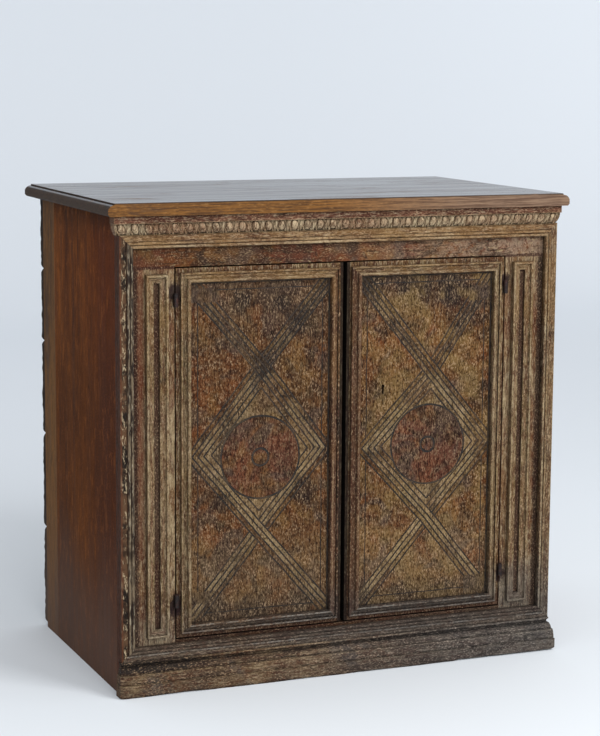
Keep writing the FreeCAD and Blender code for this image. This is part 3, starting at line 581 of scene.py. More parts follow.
def field_paint(name, coat, second, specks=0.5, zones=1.0, wear=0.0, low_light=0.0):
    """Speckled paint on the door fields, greyer and darker towards the top and the bottom.

    zones is how far it darkens there, wear how much of it is rubbed down to ochre, and low_light how
    much paler it is in the lower half.
    """
    p = Coat(name, "z")
    colour = p.layered(p.mottled(coat, second), (p.noise(26, 2, 0.55, 0.5), 0.40, 0.60, wear, OCHRE))
    colour = p.glazed(colour, p.streaks, 0.50, 0.64, 0.6)
    clouded = p.times(p.minus(p.broad, 0.5), 0.35)
    reach = p.plus(p.apart(p.axis("Z"), 0.445), clouded)
    colour = p.layered(colour, (reach, 0.24, 0.38, 0.6 * zones, srgb(60, 48, 40)))
    if low_light:
        height = p.strayed("Z", 0.2)
        pale = p.times(p.ease(height, 0.64, 0.46), p.ease(p.broad, 0.35, 0.6))
        colour = p.layer(colour, pale, low_light, CREAM)
        colour = p.layered(colour, (height, 0.60, 0.72, 0.5, srgb(46, 36, 33)))
    colour = p.glazed(colour, p.flakes, 0.50, 0.62, 0.6)
    if zones:
        colour = smudged(p, colour)
    veil = p.ease(p.noise(15, 2, 0.55, 0.5), 0.42, 0.64)
    golden = p.times(veil, p.ease(p.axis("X"), -0.06, 0.12, 0.1, 0.6))
    colour = p.layer(colour, golden, zones, srgb(108, 86, 50))
    colour = p.layered(colour, (p.strayed("Z", 0.15), 0.36, 0.22, 0.16 * zones, srgb(124, 106, 80)))
    foot = p.times(p.ease(p.strayed("Z", 0.1), 0.22, 0.14), p.ease(p.broad, 0.3, 0.55))
    colour = p.layer(colour, foot, 0.55 * zones, srgb(36, 28, 24))
    colour = p.layered(colour, (p.flecks, 0.53, 0.65, 0.2, srgb(148, 126, 92)))
    colour = p.peppered(p.glazed(colour, p.flecks, 0.46, 0.34, 0.6), specks, 1.0)
    colour = p.layered(colour, (p.axis("X"), 0.02, -0.02, 0.12, UMBER))
    # Painted shade with grime in the corners of the field
    return p.dry(p.corner_shaded(colour, 9, 0.85), 1.0)


def wood(name, axis, tones, sheen, depth=0.35, ends=0.0, front=None):
    """Old wood with grain along one axis, darkened by painted shade in its corners and stained near the
    floor.

    tones are its light, middle and dark colours, sheen its least and greatest roughness with the
    strength of its gloss, ends how dark the cut ends are, and front a stain towards the front, which
    comes with a painted shadow under the top.
    """
    light, mid, dark = tones
    smooth, dull, gloss = sheen
    p = Paint(name)
    grain = p.drawn(axis, 55, 2.6, 6, 0.65, 0.6)
    fibre = p.drawn(axis, 420, 16, 4, 0.7, 0.2)
    broad = p.drawn(axis, 6, 1.8, 4, 0.6, 0.5)
    blots = p.drawn(axis, 80, 26, 4, 0.7, 0.4)
    scars = p.drawn(axis, 30, 9, 5, 0.75, 1.2)
    dust = p.noise(300, 2, 0.65)
    colour = p.layered(p.clouds(grain, 0.36, 0.64, dark, mid), (broad, 0.36, 0.66, 0.45, light))
    if front:
        colour = p.layered(
            colour,
            (p.axis("Y"), 0.04, -0.22, 0.75, front),
            (p.axis("Z"), 0.84, 0.56, 0.45, UMBER),
            # Painted shadow under the overhanging top
            (p.axis("Z"), 0.91, 0.97, 0.6, UMBER),
        )
    colour = p.layered(
        colour,
        (fibre, 0.54, 0.68, 0.6, dark),
        (blots, 0.52, 0.64, 0.5, dark),
        (blots, 0.46, 0.36, 0.35, light),
        (dust, 0.52, 0.68, 0.3, light),
        (dust, 0.48, 0.32, 0.4, dark),
        (scars, 0.62, 0.74, 0.6, GRIME_AND_SHADE),
    )
    # Lighter edges: wear and painted highlight
    colour = p.layer(colour, p.worn_and_highlit_edges(4 * MM), 0.35, light)
    if ends:
        colour = p.layer(colour, p.ends(), ends, GRIME_AND_SHADE)
    # Painted shade with grime in the corners
    colour = p.layer(colour, p.crevice_shade(18 * MM), 0.85, GRIME_AND_SHADE)
    height = p.plus(p.axis("Z"), p.times(broad, 0.3))
    colour = p.layered(colour, (height, 0.52, 0.16, 0.6, srgb(90, 74, 66)))
    rough = p.ease(p.plus(grain, p.times(fibre, 0.5)), 0.5, 1.0, smooth, dull)
    return p.finish(colour, rough, p.plus(grain, p.times(fibre, 0.7)), depth * MM, gloss)


def top_wood(name):
    """The dark waxed top, with a hand-worn orange front edge and dull dark ends."""
    p = Paint(name)
    grain = p.drawn("x", 44, 2.0, 6, 0.65, 0.6)
    fibre = p.drawn("x", 330, 12, 4, 0.7, 0.2)
    scuffs = p.drawn("x", 26, 5, 5, 0.7, 0.8)
    dents = p.drawn("x", 300, 70, 3, 0.6, 0.3)
    colour = p.clouds(grain, 0.36, 0.64, srgb(30, 24, 21), srgb(66, 48, 36))
    colour = p.layered(colour, (scuffs, 0.56, 0.68, 0.7, srgb(104, 76, 50)))
    bleached = p.clouds(fibre, 0.4, 0.6, srgb(126, 104, 86), srgb(88, 67, 54))
    front = p.layered(
        p.clouds(fibre, 0.42, 0.62, srgb(111, 73, 31), srgb(71, 45, 21)),
        (dents, 0.54, 0.66, 0.45, srgb(46, 30, 20)),
        (dents, 0.46, 0.34, 0.35, srgb(150, 112, 66)),
        (scuffs, 0.52, 0.64, 0.7, srgb(60, 42, 30)),
        (p.axis("X"), -0.1, 0.36, 0.85, bleached),
    )
    colour = p.layer(colour, p.facing("Y", -1.0), 0.95, front)
    cut = p.clouds(fibre, 0.4, 0.65, srgb(44, 34, 26), srgb(72, 52, 35))
    colour = p.layer(colour, p.ends(), 0.85, cut)
    # Painted shade with grime in the corners
    colour = p.layer(colour, p.crevice_shade(14 * MM), 0.9, GRIME_AND_SHADE)
    waxed = p.plus(p.ease(grain, 0.3, 0.7, 0.13, 0.24), p.ease(scuffs, 0.55, 0.7, 0.0, 0.14))
    rough = p.math("MAXIMUM", waxed, p.ease(p.axis("Z", p.normal), 0.95, 0.7, 0.0, 0.68))
    return p.finish(colour, rough, p.plus(grain, p.times(fibre, 0.4)), 0.14 * MM, 0.14)


def iron(name):
    """Dark forged iron with rust in patches."""
    p = Paint(name)
    broad = p.noise(60, 4, 0.65, 0.4)
    fine = p.noise(420, 3, 0.6)
    colour = p.clouds(broad, 0.45, 0.65, srgb(34, 27, 26), srgb(62, 36, 28))
    colour = p.layered(colour, (fine, 0.5, 0.7, 0.5, srgb(26, 22, 20)))
    rough = p.ease(fine, 0.3, 0.7, 0.45, 0.75)
    return p.finish(colour, rough, p.plus(broad, fine), 0.4 * MM, metal=0.6)


def groove_dark(name):
    """The dark stain in the cut lines, with paler dust here and there; it also paints the shade strips
    along the field's right and upper edges.
    """
    p = Paint(name)
    fine = p.noise(260, 3, 0.6)
    colour = p.layered(
        p.clouds(p.noise(26, 4, 0.7, 0.4), 0.44, 0.62, GRIME_AND_SHADE, srgb(46, 34, 26)),
        (p.noise(11, 3, 0.6, 0.3), 0.50, 0.66, 0.3, srgb(84, 66, 44)),
        (fine, 0.54, 0.70, 0.45, OLIVE),
    )
    return p.finish(colour, p.ease(fine, 0.3, 0.7, 0.6, 0.85), fine, 0.4 * MM, 0.3)


WALNUT_SIDE = (srgb(138, 81, 37), srgb(102, 57, 27), srgb(60, 33, 19))
OLD_SIDE = (srgb(126, 87, 46), srgb(101, 69, 38), srgb(62, 42, 26))
SOFTWOOD = (srgb(92, 70, 50), srgb(66, 49, 36), srgb(34, 26, 20))
POPLAR = (srgb(132, 100, 66), srgb(104, 76, 48), srgb(68, 48, 32))

HEAD_COATS = (srgb(136, 110, 78), srgb(108, 80, 54))
BROWN_COATS = (srgb(116, 96, 68), srgb(90, 66, 42))
MEETING_COATS = (srgb(88, 60, 44), srgb(66, 40, 30))
UPRIGHT_COATS = (srgb(102, 84, 62), srgb(76, 60, 44))
DARK_COATS = (srgb(76, 62, 48), srgb(52, 42, 35))

# The lined mouldings: edge, width, lines, and where they differ the coats, specks and dirt
LINED_FINISHES = {
    "frame_top": ("top", FRAME_WIDTH, FRAME_LINES, HEAD_COATS),
    "frame_right": ("right", FRAME_WIDTH, FRAME_LINES, UPRIGHT_COATS),
    "frame_bottom": ("bottom", FRAME_WIDTH, FOOT_LINES, DARK_COATS, 0.2, 0.4),
    "door_top": ("top", DOOR_WIDTH, DOOR_LINES, BROWN_COATS),
    "door_right": ("right", DOOR_WIDTH, DOOR_LINES),
    "door_bottom": ("bottom", DOOR_WIDTH, DOOR_FOOT_LINES, DARK_COATS, 0.15),
    "door_left": ("left", DOOR_WIDTH, DOOR_LINES),
    "meeting_left": ("left", DOOR_WIDTH, MEETING_LINES, MEETING_COATS, 0.15),
    "meeting_right": ("right", DOOR_WIDTH, SHADED_LINES, MEETING_COATS, 0.15),
    "panel_long": ("long", PANEL_WIDTH, PANEL_LINES),
    "panel_end": ("ends", PANEL_HEIGHT, PANEL_LINES),
}
MATERIALS = {name: lined_paint(f"{name}_paint", *plan) for name, plan in LINED_FINISHES.items()}
MATERIALS |= {
    "frame_left": chipped_paint("frame_left_paint"),
    "door_edge": door_edge_paint("door_edge_paint"),
    "stile": stile_paint("stile_paint"),
    "frieze": frieze_paint("frieze_paint"),
    "cornice": old_paint("cornice_paint", "x", srgb(132, 108, 84), srgb(106, 72, 52), dirt=0.7),
    "egg": old_paint("egg_paint", "z", srgb(172, 152, 122), srgb(138, 108, 84), dirt=0.8),
    "dart": old_paint("dart_paint", "z", CHALK, PINK_CLAY, dirt=0.6),
    "fillet": old_paint("fillet_paint", "x", srgb(98, 64, 48), srgb(72, 42, 32), 0.3, 0.9),
    # Dark in the cut gaps round the eggs and darts: painted shade over bare wood
    "egg_gap": old_paint("egg_gap_shade_paint", "z", UMBER, BARE_WOOD, 0.1),
    "base": base_paint("base_paint"),
    "field": field_paint("field_ochre", OCHRE, ORANGE),
    "band": field_paint("field_cream_band", srgb(98, 82, 58), srgb(118, 100, 72), 0.4, 0.6, 0.5, 0.45),
    "band_edge": field_paint("field_grey_band", OLIVE, OCHRE, 0.4, 0.8, 0.5),
    "corner": field_paint("field_corner", CREAM_GREY, OLIVE, 0.5, 0.5, 0.5, 0.3),
    "disc": field_paint("field_disc", DISC_RED, srgb(80, 48, 35), 0.34, 0.0),
    "patch": field_paint("field_patch", GREY_PURPLE, srgb(58, 46, 44), 0.25, 1.0),
    "groove": groove_dark("field_groove"),
    "top": top_wood("top_walnut"),
    "side": wood("side_walnut", "z", WALNUT_SIDE, (0.6, 0.85, 0.02), front=srgb(78, 36, 21)),
    "side_rear": wood("side_rear_wood", "z", OLD_SIDE, (0.6, 0.85, 0.06)),
    "back": wood("back_softwood", "x", SOFTWOOD, (0.7, 0.9, 0.1), 0.7, ends=0.7),
    "inner_x": wood("inner_poplar_x", "x", POPLAR, (0.6, 0.8, 0.3)),
    "inner_y": wood("inner_poplar_y", "y", POPLAR, (0.6, 0.8, 0.3)),
    "iron": iron("forged_iron"),
}

# The finish of each CAD node, by the first word of this list that its name holds
FINISH_WORDS = {
    "hinge": "iron",
    "lock": "iron",
    "bolt": "iron",
    "nails": "iron",
    "back_": "back",
    "cleat": "inner_y",
    "left_door_moulding_right": "meeting_right",
    "right_door_moulding_left": "meeting_left",
    "door_board": "door_edge",
    "door_upper": "inner_x",
    "door_lower": "inner_x",
    "batten": "inner_y",
    "top_": "top",
    "side_front": "side",
    "side_rear": "side_rear",
    "carved_cornice": "cornice",
    "base_moulding": "base",
    "_rail": "frieze",
    "stile": "stile",
    "panel_long": "panel_long",
    "panel_end": "panel_end",
}


def finish_name(node):
    """The finish of a CAD node: by a word in its name, or for a moulding by its kind and side."""
    for word, finish in FINISH_WORDS.items():
        if word in node:
            return finish
    if "moulding" in node:
        kind = "door" if "door" in node else "frame"
        return f"{kind}_{node.rsplit('_', 1)[1]}"
    return "inner_x"


EDGE_WEAR = 1.2 * MM
IRON_WEAR = 0.5 * MM


def dress_nodes():
    """Each CAD node gets its finish and softly worn edges."""
    for name, node in nodes.items():
        finish = finish_name(name)
        node.data.materials.clear()
        node.data.materials.append(MATERIALS[finish])
        wear = node.modifiers.new("worn_and_highlit_edges", "BEVEL")
        wear.width = IRON_WEAR if finish == "iron" else EDGE_WEAR
        wear.segments = 2
        wear.limit_method = "ANGLE"
        wear.angle_limit = math.radians(40)


def add_piece(name, points, faces, body, slot, finishes, face_finishes=None):
    """A mesh piece that rides on a body, with one finish or a finish for each face."""
    mesh = bpy.data.meshes.new(name)
    mesh.from_pydata(points, [], faces)
    for finish in finishes:
        mesh.materials.append(MATERIALS[finish])
    if face_finishes:
        slots = [finishes.index(finish) for finish in face_finishes]
        mesh.polygons.foreach_set("material_index", slots)
    mesh.validate()
    mesh.update()
    piece = bpy.data.objects.new(name, mesh)
    bpy.context.collection.objects.link(piece)
    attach(piece, body)
    return piece


# The cut and painted ornament of the door fields

FIELD_SKIN = 1.0 * MM
GROOVE_FLOOR = 0.15 * MM
FIELD_LEVELS = {None: 0.0, "groove": GROOVE_FLOOR}
GROOVE_WIDTH = 3.2 * MM
BAND_LINES = (-15 * MM, -5 * MM, 5 * MM, 15 * MM)
BAND_FINISHES = ("band_edge", "band", "band")
INNER_LOZENGE = 26 * MM
BORDER_INSET = 17 * MM
EDGE_SHADOW = 4 * MM
LOZENGE_REACH = 0.105
BAND_RUN_OUT = 0.05
KEYHOLE_X = 0.088
KEYHOLE_Z = 0.6037
KEYHOLE_RADIUS = 3.6 * MM
SLOT_HALF = 1.8 * MM
SLOT_DROP = 17 * MM
FIELD_FINISHES = ("field", "band_edge", "band", "corner", "disc", "patch", "groove")
DOORS = {
    "left": {
        "upper": (-0.184, 0.660),
        "lower": (-0.190, 0.318),
        "tips": ((-0.328, 0.481), (-0.047, 0.484)),
        "disc": (-0.186, 0.472, 0.086),
        "ring": 18 * MM,
        "patches": ((-0.338, -0.280, 0.795, 0.824), (-0.338, -0.296, 0.176, 0.200)),
    },
    "right": {
        "upper": (0.200, 0.632),
        "lower": (0.192, 0.318),
        "tips": ((0.048, 0.474), (0.333, 0.474)),
        "disc": (0.193, 0.474, 0.085),
        "ring": 16 * MM,
        "patches": ((0.286, 0.338, 0.776, 0.808), (0.284, 0.338, 0.140, 0.180)),
    },
}


def wobble(point, seed):
    """A hand-cut line strays a little from the rule."""
    here = Vector((point[0] * 28, point[1] * 28, seed))
    return noise.noise(here) * 0.9 * MM


def dense_line(points, step=16 * MM):
    """The line with more points, so that it can stray."""
    line = []
    for first, last in zip(points, points[1:]):
        run = (last - first).length
        count = max(1, round(run / step))
        line.extend(first.lerp(last, number / count) for number in range(count))
    line.append(points[-1])
    return line


def line_normals(line):
    """At each point the way to the left of the line, longer where the line bends."""
    sides = []
    for first, last in zip(line, line[1:]):
        run = (last - first).normalized()
        sides.append(Vector((-run.y, run.x)))
    normals = []
    for before, after in zip(sides[:1] + sides, sides + sides[-1:]):
        normal = (before + after).normalized()
        normals.append(normal / max(normal.dot(before), 0.3))
    return normals


def offset_line(line, distance):
    return [point + normal * distance for point, normal in zip(line, line_normals(line))]


def strayed(line, seed):
    return [point + normal * wobble(point, seed) for point, normal in zip(line, line_normals(line))]


def pairs_round(items):
    """Each item with the next one, and the last with the first."""
    return zip(items, items[1:] + items[:1])


def sides_of(corners):
    """The sides of a closed outline, each as a line that can stray."""
    return [dense_line(side) for side in pairs_round(corners)]


def circle(middle, radius, steps):
    """Points round a circle, with the way out at each."""
    angles = [math.tau * number / steps for number in range(steps + 1)]
    ways = [Vector((math.cos(angle), math.sin(angle))) for angle in angles]
    return [(middle + way * radius, way) for way in ways]


class Overlay:
    """Closed outlines laid over each other and cut into faces that know what they lie in."""

    def __init__(self):
        self.points = []
        self.outlines = []
        self.tags = []

    def add(self, outline, tag):
        area = sum(a.x * b.y - b.x * a.y for a, b in pairs_round(outline))
        if area < 0:
            outline = outline[::-1]
        start = len(self.points)
        self.points.extend(outline)
        self.outlines.append(list(range(start, len(self.points))))
        self.tags.append(tag)

    def add_strip(self, first, last, tag):
        self.add(first + last[::-1], tag)

    def add_groove(self, line, tag, width=GROOVE_WIDTH):
        self.add_strip(offset_line(line, -width / 2), offset_line(line, width / 2), tag)

    def add_ring(self, middle, radius, tag, width=GROOVE_WIDTH, steps=64):
        """A round groove in two halves, with a stray outline."""
        ring = [point + way * wobble(point, 9.0) * 0.8 for point, way in circle(middle, radius, steps)]
        half = steps // 2
        self.add_groove(ring[:half + 1], tag, width)
        self.add_groove(ring[half:], tag, width)

    def faces(self):
        points, _, faces, _, _, owners = delaunay_2d_cdt(self.points, [], self.outlines, 0, 1e-6, True)
        tagged = [{self.tags[owner] for owner in owned} for owned in owners]
        return points, faces, tagged


def field_box(side):
    """The field inside the door's mouldings: lowest x, highest x, lowest z, highest z."""
    low_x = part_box(f"{side}_door_moulding_left")[1][0]
    high_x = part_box(f"{side}_door_moulding_right")[0][0]
    low_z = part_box(f"{side}_door_moulding_bottom")[1][2]
    high_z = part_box(f"{side}_door_moulding_top")[0][2]
    return low_x, high_x, low_z, high_z


def rectangle(low_x, high_x, low_z, high_z):
    corners = ((low_x, low_z), (high_x, low_z), (high_x, high_z), (low_x, high_z))
    return [Vector(corner) for corner in corners]


def add_zigzag(overlay, letter, line):
    """One band that runs from a top corner by a tip of the lozenge to a bottom corner."""
    rails = [strayed(offset_line(line, distance), number) for number, distance in enumerate(BAND_LINES)]
    for rail in rails:
        overlay.add_groove(rail, f"{letter}_groove")
    for number, finish in enumerate(BAND_FINISHES):
        overlay.add_strip(rails[number], rails[number + 1], f"{letter}_{finish}")
    overlay.add_strip(rails[0], rails[-1], f"{letter}_all")


def keyhole_outline():
    """A round hole with a slot below it, where the board behind is pierced."""
    middle = Vector((carcass_middle() + KEYHOLE_X, KEYHOLE_Z))
    outline = [middle + Vector((x, -SLOT_DROP)) for x in (-SLOT_HALF, SLOT_HALF)]
    start = -math.acos(SLOT_HALF / KEYHOLE_RADIUS)
    sweep = math.pi - 2 * start
    steps = 12
    for number in range(steps + 1):
        angle = start + sweep * number / steps
        outline.append(middle + Vector((math.cos(angle), math.sin(angle))) * KEYHOLE_RADIUS)
    return outline


def add_bands(overlay, box, lozenge):
    """The two bands that cross above and below the lozenge and run out into the corners."""
    low_x, high_x, low_z, high_z = box
    upper, left_tip, lower, right_tip = lozenge
    for letter, x, tip in (("a", low_x, right_tip), ("b", high_x, left_tip)):
        head = Vector((x, high_z))
        foot = Vector((x, low_z))
        beyond = head + (head - upper).normalized() * BAND_RUN_OUT
        below = foot + (foot - lower).normalized() * BAND_RUN_OUT
        route = [beyond, upper, tip, lower, below]
        if letter == "a":
            route.reverse()
        add_zigzag(overlay, letter, dense_line(route))


def add_borders(overlay, box):
    """The line round the field, and the shade under its right and upper mouldings."""
    low_x, high_x, low_z, high_z = box
    inset = BORDER_INSET
    border = rectangle(low_x + inset, high_x - inset, low_z + inset, high_z - inset)
    for number, line in enumerate(sides_of(border)):
        overlay.add_groove(strayed(line, 20 + number), "border_groove", GROOVE_WIDTH * 0.7)
    # Painted shade strips under the right and upper mouldings, in the groove finish
    overlay.add(rectangle(high_x - EDGE_SHADOW, high_x, low_z, high_z), "edge_groove")
    overlay.add(rectangle(low_x, high_x, high_z - EDGE_SHADOW, high_z), "edge_groove")


def add_disc(overlay, plan, shift):
    """The disc in the lozenge, with a cut rim and a small ring."""
    disc_x, disc_z, radius = plan["disc"]
    hub = Vector((disc_x, disc_z)) + shift
    overlay.add([point for point, _ in circle(hub, radius, 64)[:-1]], "disc")
    overlay.add_ring(hub, radius, "disc_groove", 4.0 * MM)
    overlay.add_ring(hub, plan["ring"], "disc_groove", 4.8 * MM, 24)


def ornament(side, plan):
    """The overlay of one door's field, and the height of the middle of its lozenge."""
    box = field_box(side)
    shift = Vector((carcass_middle(), 0.0))
    left_tip, right_tip = plan["tips"]
    lozenge = [Vector(corner) + shift for corner in (plan["upper"], left_tip, plan["lower"], right_tip)]
    middle = sum(lozenge, Vector((0, 0))) / 4
    overlay = Overlay()
    overlay.add(rectangle(*box), "inside")
    add_bands(overlay, box, lozenge)
    overlay.add(lozenge, "lozenge")
    inner = [corner.lerp(middle, INNER_LOZENGE / LOZENGE_REACH) for corner in lozenge]
    for number, line in enumerate(sides_of(inner)):
        overlay.add_groove(strayed(line, 5 + number), "inner_groove")
    add_borders(overlay, box)
    add_disc(overlay, plan, shift)
    for low, high, foot, head in plan["patches"]:
        overlay.add(rectangle(low + shift.x, high + shift.x, foot, head), "patch")
    if side == "right":
        overlay.add(keyhole_outline(), "hole")
    return overlay, middle.y


def face_finish(tags, height, middle_z):
    """What a face of the overlay is: a finish name, or none where nothing shows."""
    if "inside" not in tags or "hole" in tags:
        return None
    for tag in ("edge_groove", "patch", "disc_groove", "disc"):
        if tag in tags:
            return tag.rsplit("_", 1)[-1]
    over, under = ("a", "b") if height > middle_z else ("b", "a")
    for letter in (over, under):
        if f"{letter}_groove" in tags:
            return "groove"
        if f"{letter}_all" in tags:
            return next((finish for finish in BAND_FINISHES if f"{letter}_{finish}" in tags), "band")
    if "lozenge" in tags:
        return "groove" if "inner_groove" in tags else "corner"
    return "groove" if "border_groove" in tags else "field"


class Relief:
    """Flat faces raised in front of a board, with walls where their heights differ."""

    def __init__(self, flat, board_y):
        self.flat = flat
        self.board_y = board_y
        self.numbers = {}
        self.points = []
        self.polygons = []
        self.finishes = []

    def number(self, corner, height):
        """The number of the point at a corner and a height, which is made at its first use."""
        key = (corner, height)
        if key not in self.numbers:
            self.numbers[key] = len(self.points)
            x, z = self.flat[corner]
            self.points.append((x, self.board_y - height, z))
        return self.numbers[key]

    def add(self, corners, finish):
        """A face from corners with their heights."""
        self.polygons.append([self.number(corner, height) for corner, height in corners])
        self.finishes.append(finish)

    def add_walls(self, face, height, edge_heights):
        """Walls down from the edges of a face to lower ones beside it."""
        for start, end in pairs_round(face):
            beside = edge_heights.get((end, start), 0.0)
            if beside < height:
                self.add([(end, height), (start, height), (start, beside), (end, beside)], "groove")


def make_field(side, plan):
    """The painted ground on one door's board, with the ornament cut into it."""
    overlay, middle_z = ornament(side, plan)
    flat, faces, tags = overlay.faces()
    finishes = []
    edge_heights = {}
    for face, tagged in zip(faces, tags):
        face_z = sum(flat[corner].y for corner in face) / len(face)
        finish = face_finish(tagged, face_z, middle_z)
        finishes.append(finish)
        for edge in pairs_round(face):
            edge_heights[edge] = FIELD_LEVELS.get(finish, FIELD_SKIN)
    relief = Relief(flat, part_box(f"{side}_door_board")[0][1])
    for face, finish in zip(faces, finishes):
        if finish is not None:
            height = FIELD_LEVELS.get(finish, FIELD_SKIN)
            relief.add([(corner, height) for corner in face], finish)
            relief.add_walls(face, height, edge_heights)
    name = f"{side}_door_painted_field"
    shape = (relief.points, relief.polygons)
    add_piece(name, *shape, f"{side}_door", "painted_field", FIELD_FINISHES, relief.finishes)


# Shared by the strips and the planks


def grid_faces(columns, rows, start=0):
    """The faces between columns of points that are numbered one after the other from a start."""
    faces = []
    for column in range(columns - 1):
        for row in range(rows - 1):
            first = start + column * rows + row
            faces.append((first, first + rows, first + rows + 1, first + 1))
    return faces


def hollows(x, z, seed, least=0.0):
    """How deep a soft noise goes at a place, none where it stays below the least."""
    return max(0.0, noise.noise(Vector((x, z, seed))) - least)


def grit(x, z, seed):
    """Roughness at a place, from 0 to 1."""
    return abs(noise.noise(Vector((x, z, seed))))


# The carved strip under the top

EGGS = 35
CARVED_FINISHES = ("cornice", "egg", "egg_gap", "dart", "fillet")
EGG_COLUMNS = 26
CARVED_ROWS = 22
FILLET_HEIGHT = 15 * MM
CORNICE_PROUD = 28 * MM
OVOLO_FOOT = 15 * MM
OVOLO_HEAD = 25 * MM
CORNICE_RETURN = 8 * MM

# The carving of one egg: its space is -1 to 1 across and 0 to 1 from the foot up, its rim is ring 1
EGG_HALF_WIDTH = 0.50
EGG_HALF_HEIGHT = 0.47
EGG_MIDDLE = 0.53
EGG_LEAN = -0.18
GAP_RING = 1.3
RIDGE_RING = 1.6
RIDGE_HALF = 0.28
DART_HALF = 0.16
CUT_DEPTH = 4.4 * MM
RIDGE_RISE = 3.2 * MM
DART_RISE = 2.6 * MM
MOST_RISE = 3.4 * MM


def ovolo_profile(low, high):
    """Points up the quarter round: height, distance in front of the frame."""
    foot_z, foot_proud = low
    head_z, head_proud = high
    rise = head_z - foot_z
    centre = (head_proud ** 2 - foot_proud ** 2 - rise ** 2) / (2 * (head_proud - foot_proud))
    radius = head_proud - centre
    rows = []
    for number in range(CARVED_ROWS + 1):
        z = foot_z + rise * number / CARVED_ROWS
        rows.append((z, centre + math.sqrt(radius ** 2 - (head_z - z) ** 2)))
    return rows


def returned_strip(box, rows, columns, worn):
    """Points and faces of a strip along the front that turns round both ends.

    rows hold height, distance in front of the frame and inset at the ends, from the foot up. worn
    tells how far a point is drawn in and lifted, from its column, its row and its place.
    """
    low, high = box
    points = []
    for column in range(-1, columns + 2):
        turned = column < 0 or column > columns
        share = min(max(column, 0), columns) / columns
        for row, (z, proud, inset) in enumerate(rows):
            x = low[0] + inset + (high[0] - low[0] - 2 * inset) * share
            drawn, lifted = worn(column, row, x, z)
            y = high[1] if turned else min(high[1] - proud + drawn, high[1])
            points.append((x, y, z + lifted))
    count = len(rows)
    faces = grid_faces(columns + 3, count)
    far = (columns + 2) * count
    faces.append(tuple(range(count)) + tuple(far + row for row in reversed(range(count))))
    return points, faces


def egg_ring(across, share, number):
    """Distance from the middle of an egg, one on its rim: across in -1..1, share from the foot up."""
    lean = EGG_LEAN + 0.1 * noise.noise(Vector((number * 1.7, 0.3, 2.0)))
    leant = across - lean * (share - 0.5)
    return math.hypot(leant / EGG_HALF_WIDTH, (share - EGG_MIDDLE) / EGG_HALF_HEIGHT)


def egg_depth(across, share, number):
    """How deep the carving is cut into the plain round."""
    wear = 0.85 + 0.3 * noise.noise(Vector((number * 0.37, 4.2, 0.0)))
    ring = egg_ring(across, share, number)
    if ring < 1:
        return (1 - math.sqrt(1 - ring ** 2)) * CUT_DEPTH * wear
    if ring < GAP_RING:
        return CUT_DEPTH * wear
    ridge = max(0.0, 1 - abs(ring - RIDGE_RING) / RIDGE_HALF)
    dart = max(0.0, 1 - abs(1 - abs(across)) / DART_HALF)
    return (CUT_DEPTH - min(ridge * RIDGE_RISE + dart * DART_RISE, MOST_RISE)) * wear


def egg_finish(across, share, number):
    ring = egg_ring(across, share, number)
    if ring < 0.96:
        return "egg"
    beside_egg = abs(across) > 0.30 and ring < 1.25
    beside_dart = 0.70 < abs(across) < 0.80
    return "egg_gap" if beside_egg or beside_dart else "dart"


def egg_place(column):
    """The number of the egg at a column, and the place across it from -1 to 1."""
    number = min(max(int(column / EGG_COLUMNS), 0), EGGS - 1)
    return number, 2 * (column / EGG_COLUMNS - number) - 1


def carved(column, row, x, z):
    """Egg-and-dart on the rows of the quarter round, slight wear on the fillet."""
    share = (row - 1) / CARVED_ROWS
    if 0 < share < 1 and 0 < column < EGGS * EGG_COLUMNS:
        number, across = egg_place(column)
        return egg_depth(across, share, number), 0.0
    return grit(x * 60, z * 60, 1.0) * 0.8 * MM, 0.0


def carved_finish(column, row):
    """The finish of a face of the strip, counted from its left end and from its foot."""
    if 0 < column <= EGGS * EGG_COLUMNS and 1 <= row <= CARVED_ROWS:
        number, across = egg_place(column - 0.5)
        return egg_finish(across, (row - 0.5) / CARVED_ROWS, number)
    return "fillet" if row > CARVED_ROWS else "cornice"


def make_cornice():
    """Egg-and-dart carving on the quarter round, below a plain fillet."""
    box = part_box("carved_cornice")
    foot_z = box[0][2]
    head_z = box[1][2]
    fillet_z = head_z - FILLET_HEIGHT
    profile = [(foot_z, 0.0)] + ovolo_profile((foot_z, OVOLO_FOOT), (fillet_z, OVOLO_HEAD))
    profile += [(fillet_z, CORNICE_PROUD), (head_z, CORNICE_PROUD), (head_z, 0.0)]
    taper = CORNICE_RETURN / (CORNICE_PROUD - OVOLO_FOOT)
    rows = [(z, proud, taper * (CORNICE_PROUD - max(proud, OVOLO_FOOT))) for z, proud in profile]
    columns = EGGS * EGG_COLUMNS
    points, faces = returned_strip(box, rows, columns, carved)
    finishes = []
    for column in range(columns + 2):
        finishes += [carved_finish(column, row) for row in range(len(rows) - 1)]
    finishes.append("cornice")
    name = "carved_cornice_strip"
    piece = add_piece(name, points, faces, "carcass", "painted_moulding", CARVED_FINISHES, finishes)
    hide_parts("carved_cornice")


# The worn base

BASE_COLUMNS = 220
BROKEN_FOOT = 0.26
BASE_PROUD = 31 * MM
BASE_NECK = 8 * MM
BASE_OVERHANG = 9 * MM
FOOT_REACH = 12 * MM


def arc_rows(foot, head, hollow=False, count=5):
    """Points of an arc that leaves its foot upright: height and distance in front of the frame."""
    foot_z, foot_proud = foot
    rise = head[0] - foot_z
    reach = abs(head[1] - foot_proud)
    radius = (rise ** 2 + reach ** 2) / (2 * reach)
    rows = []
    for number in range(count + 1):
        up = rise * number / count
        away = radius - math.sqrt(radius ** 2 - up ** 2)
        rows.append((foot_z + up, foot_proud + away if hollow else foot_proud - away))
    return rows


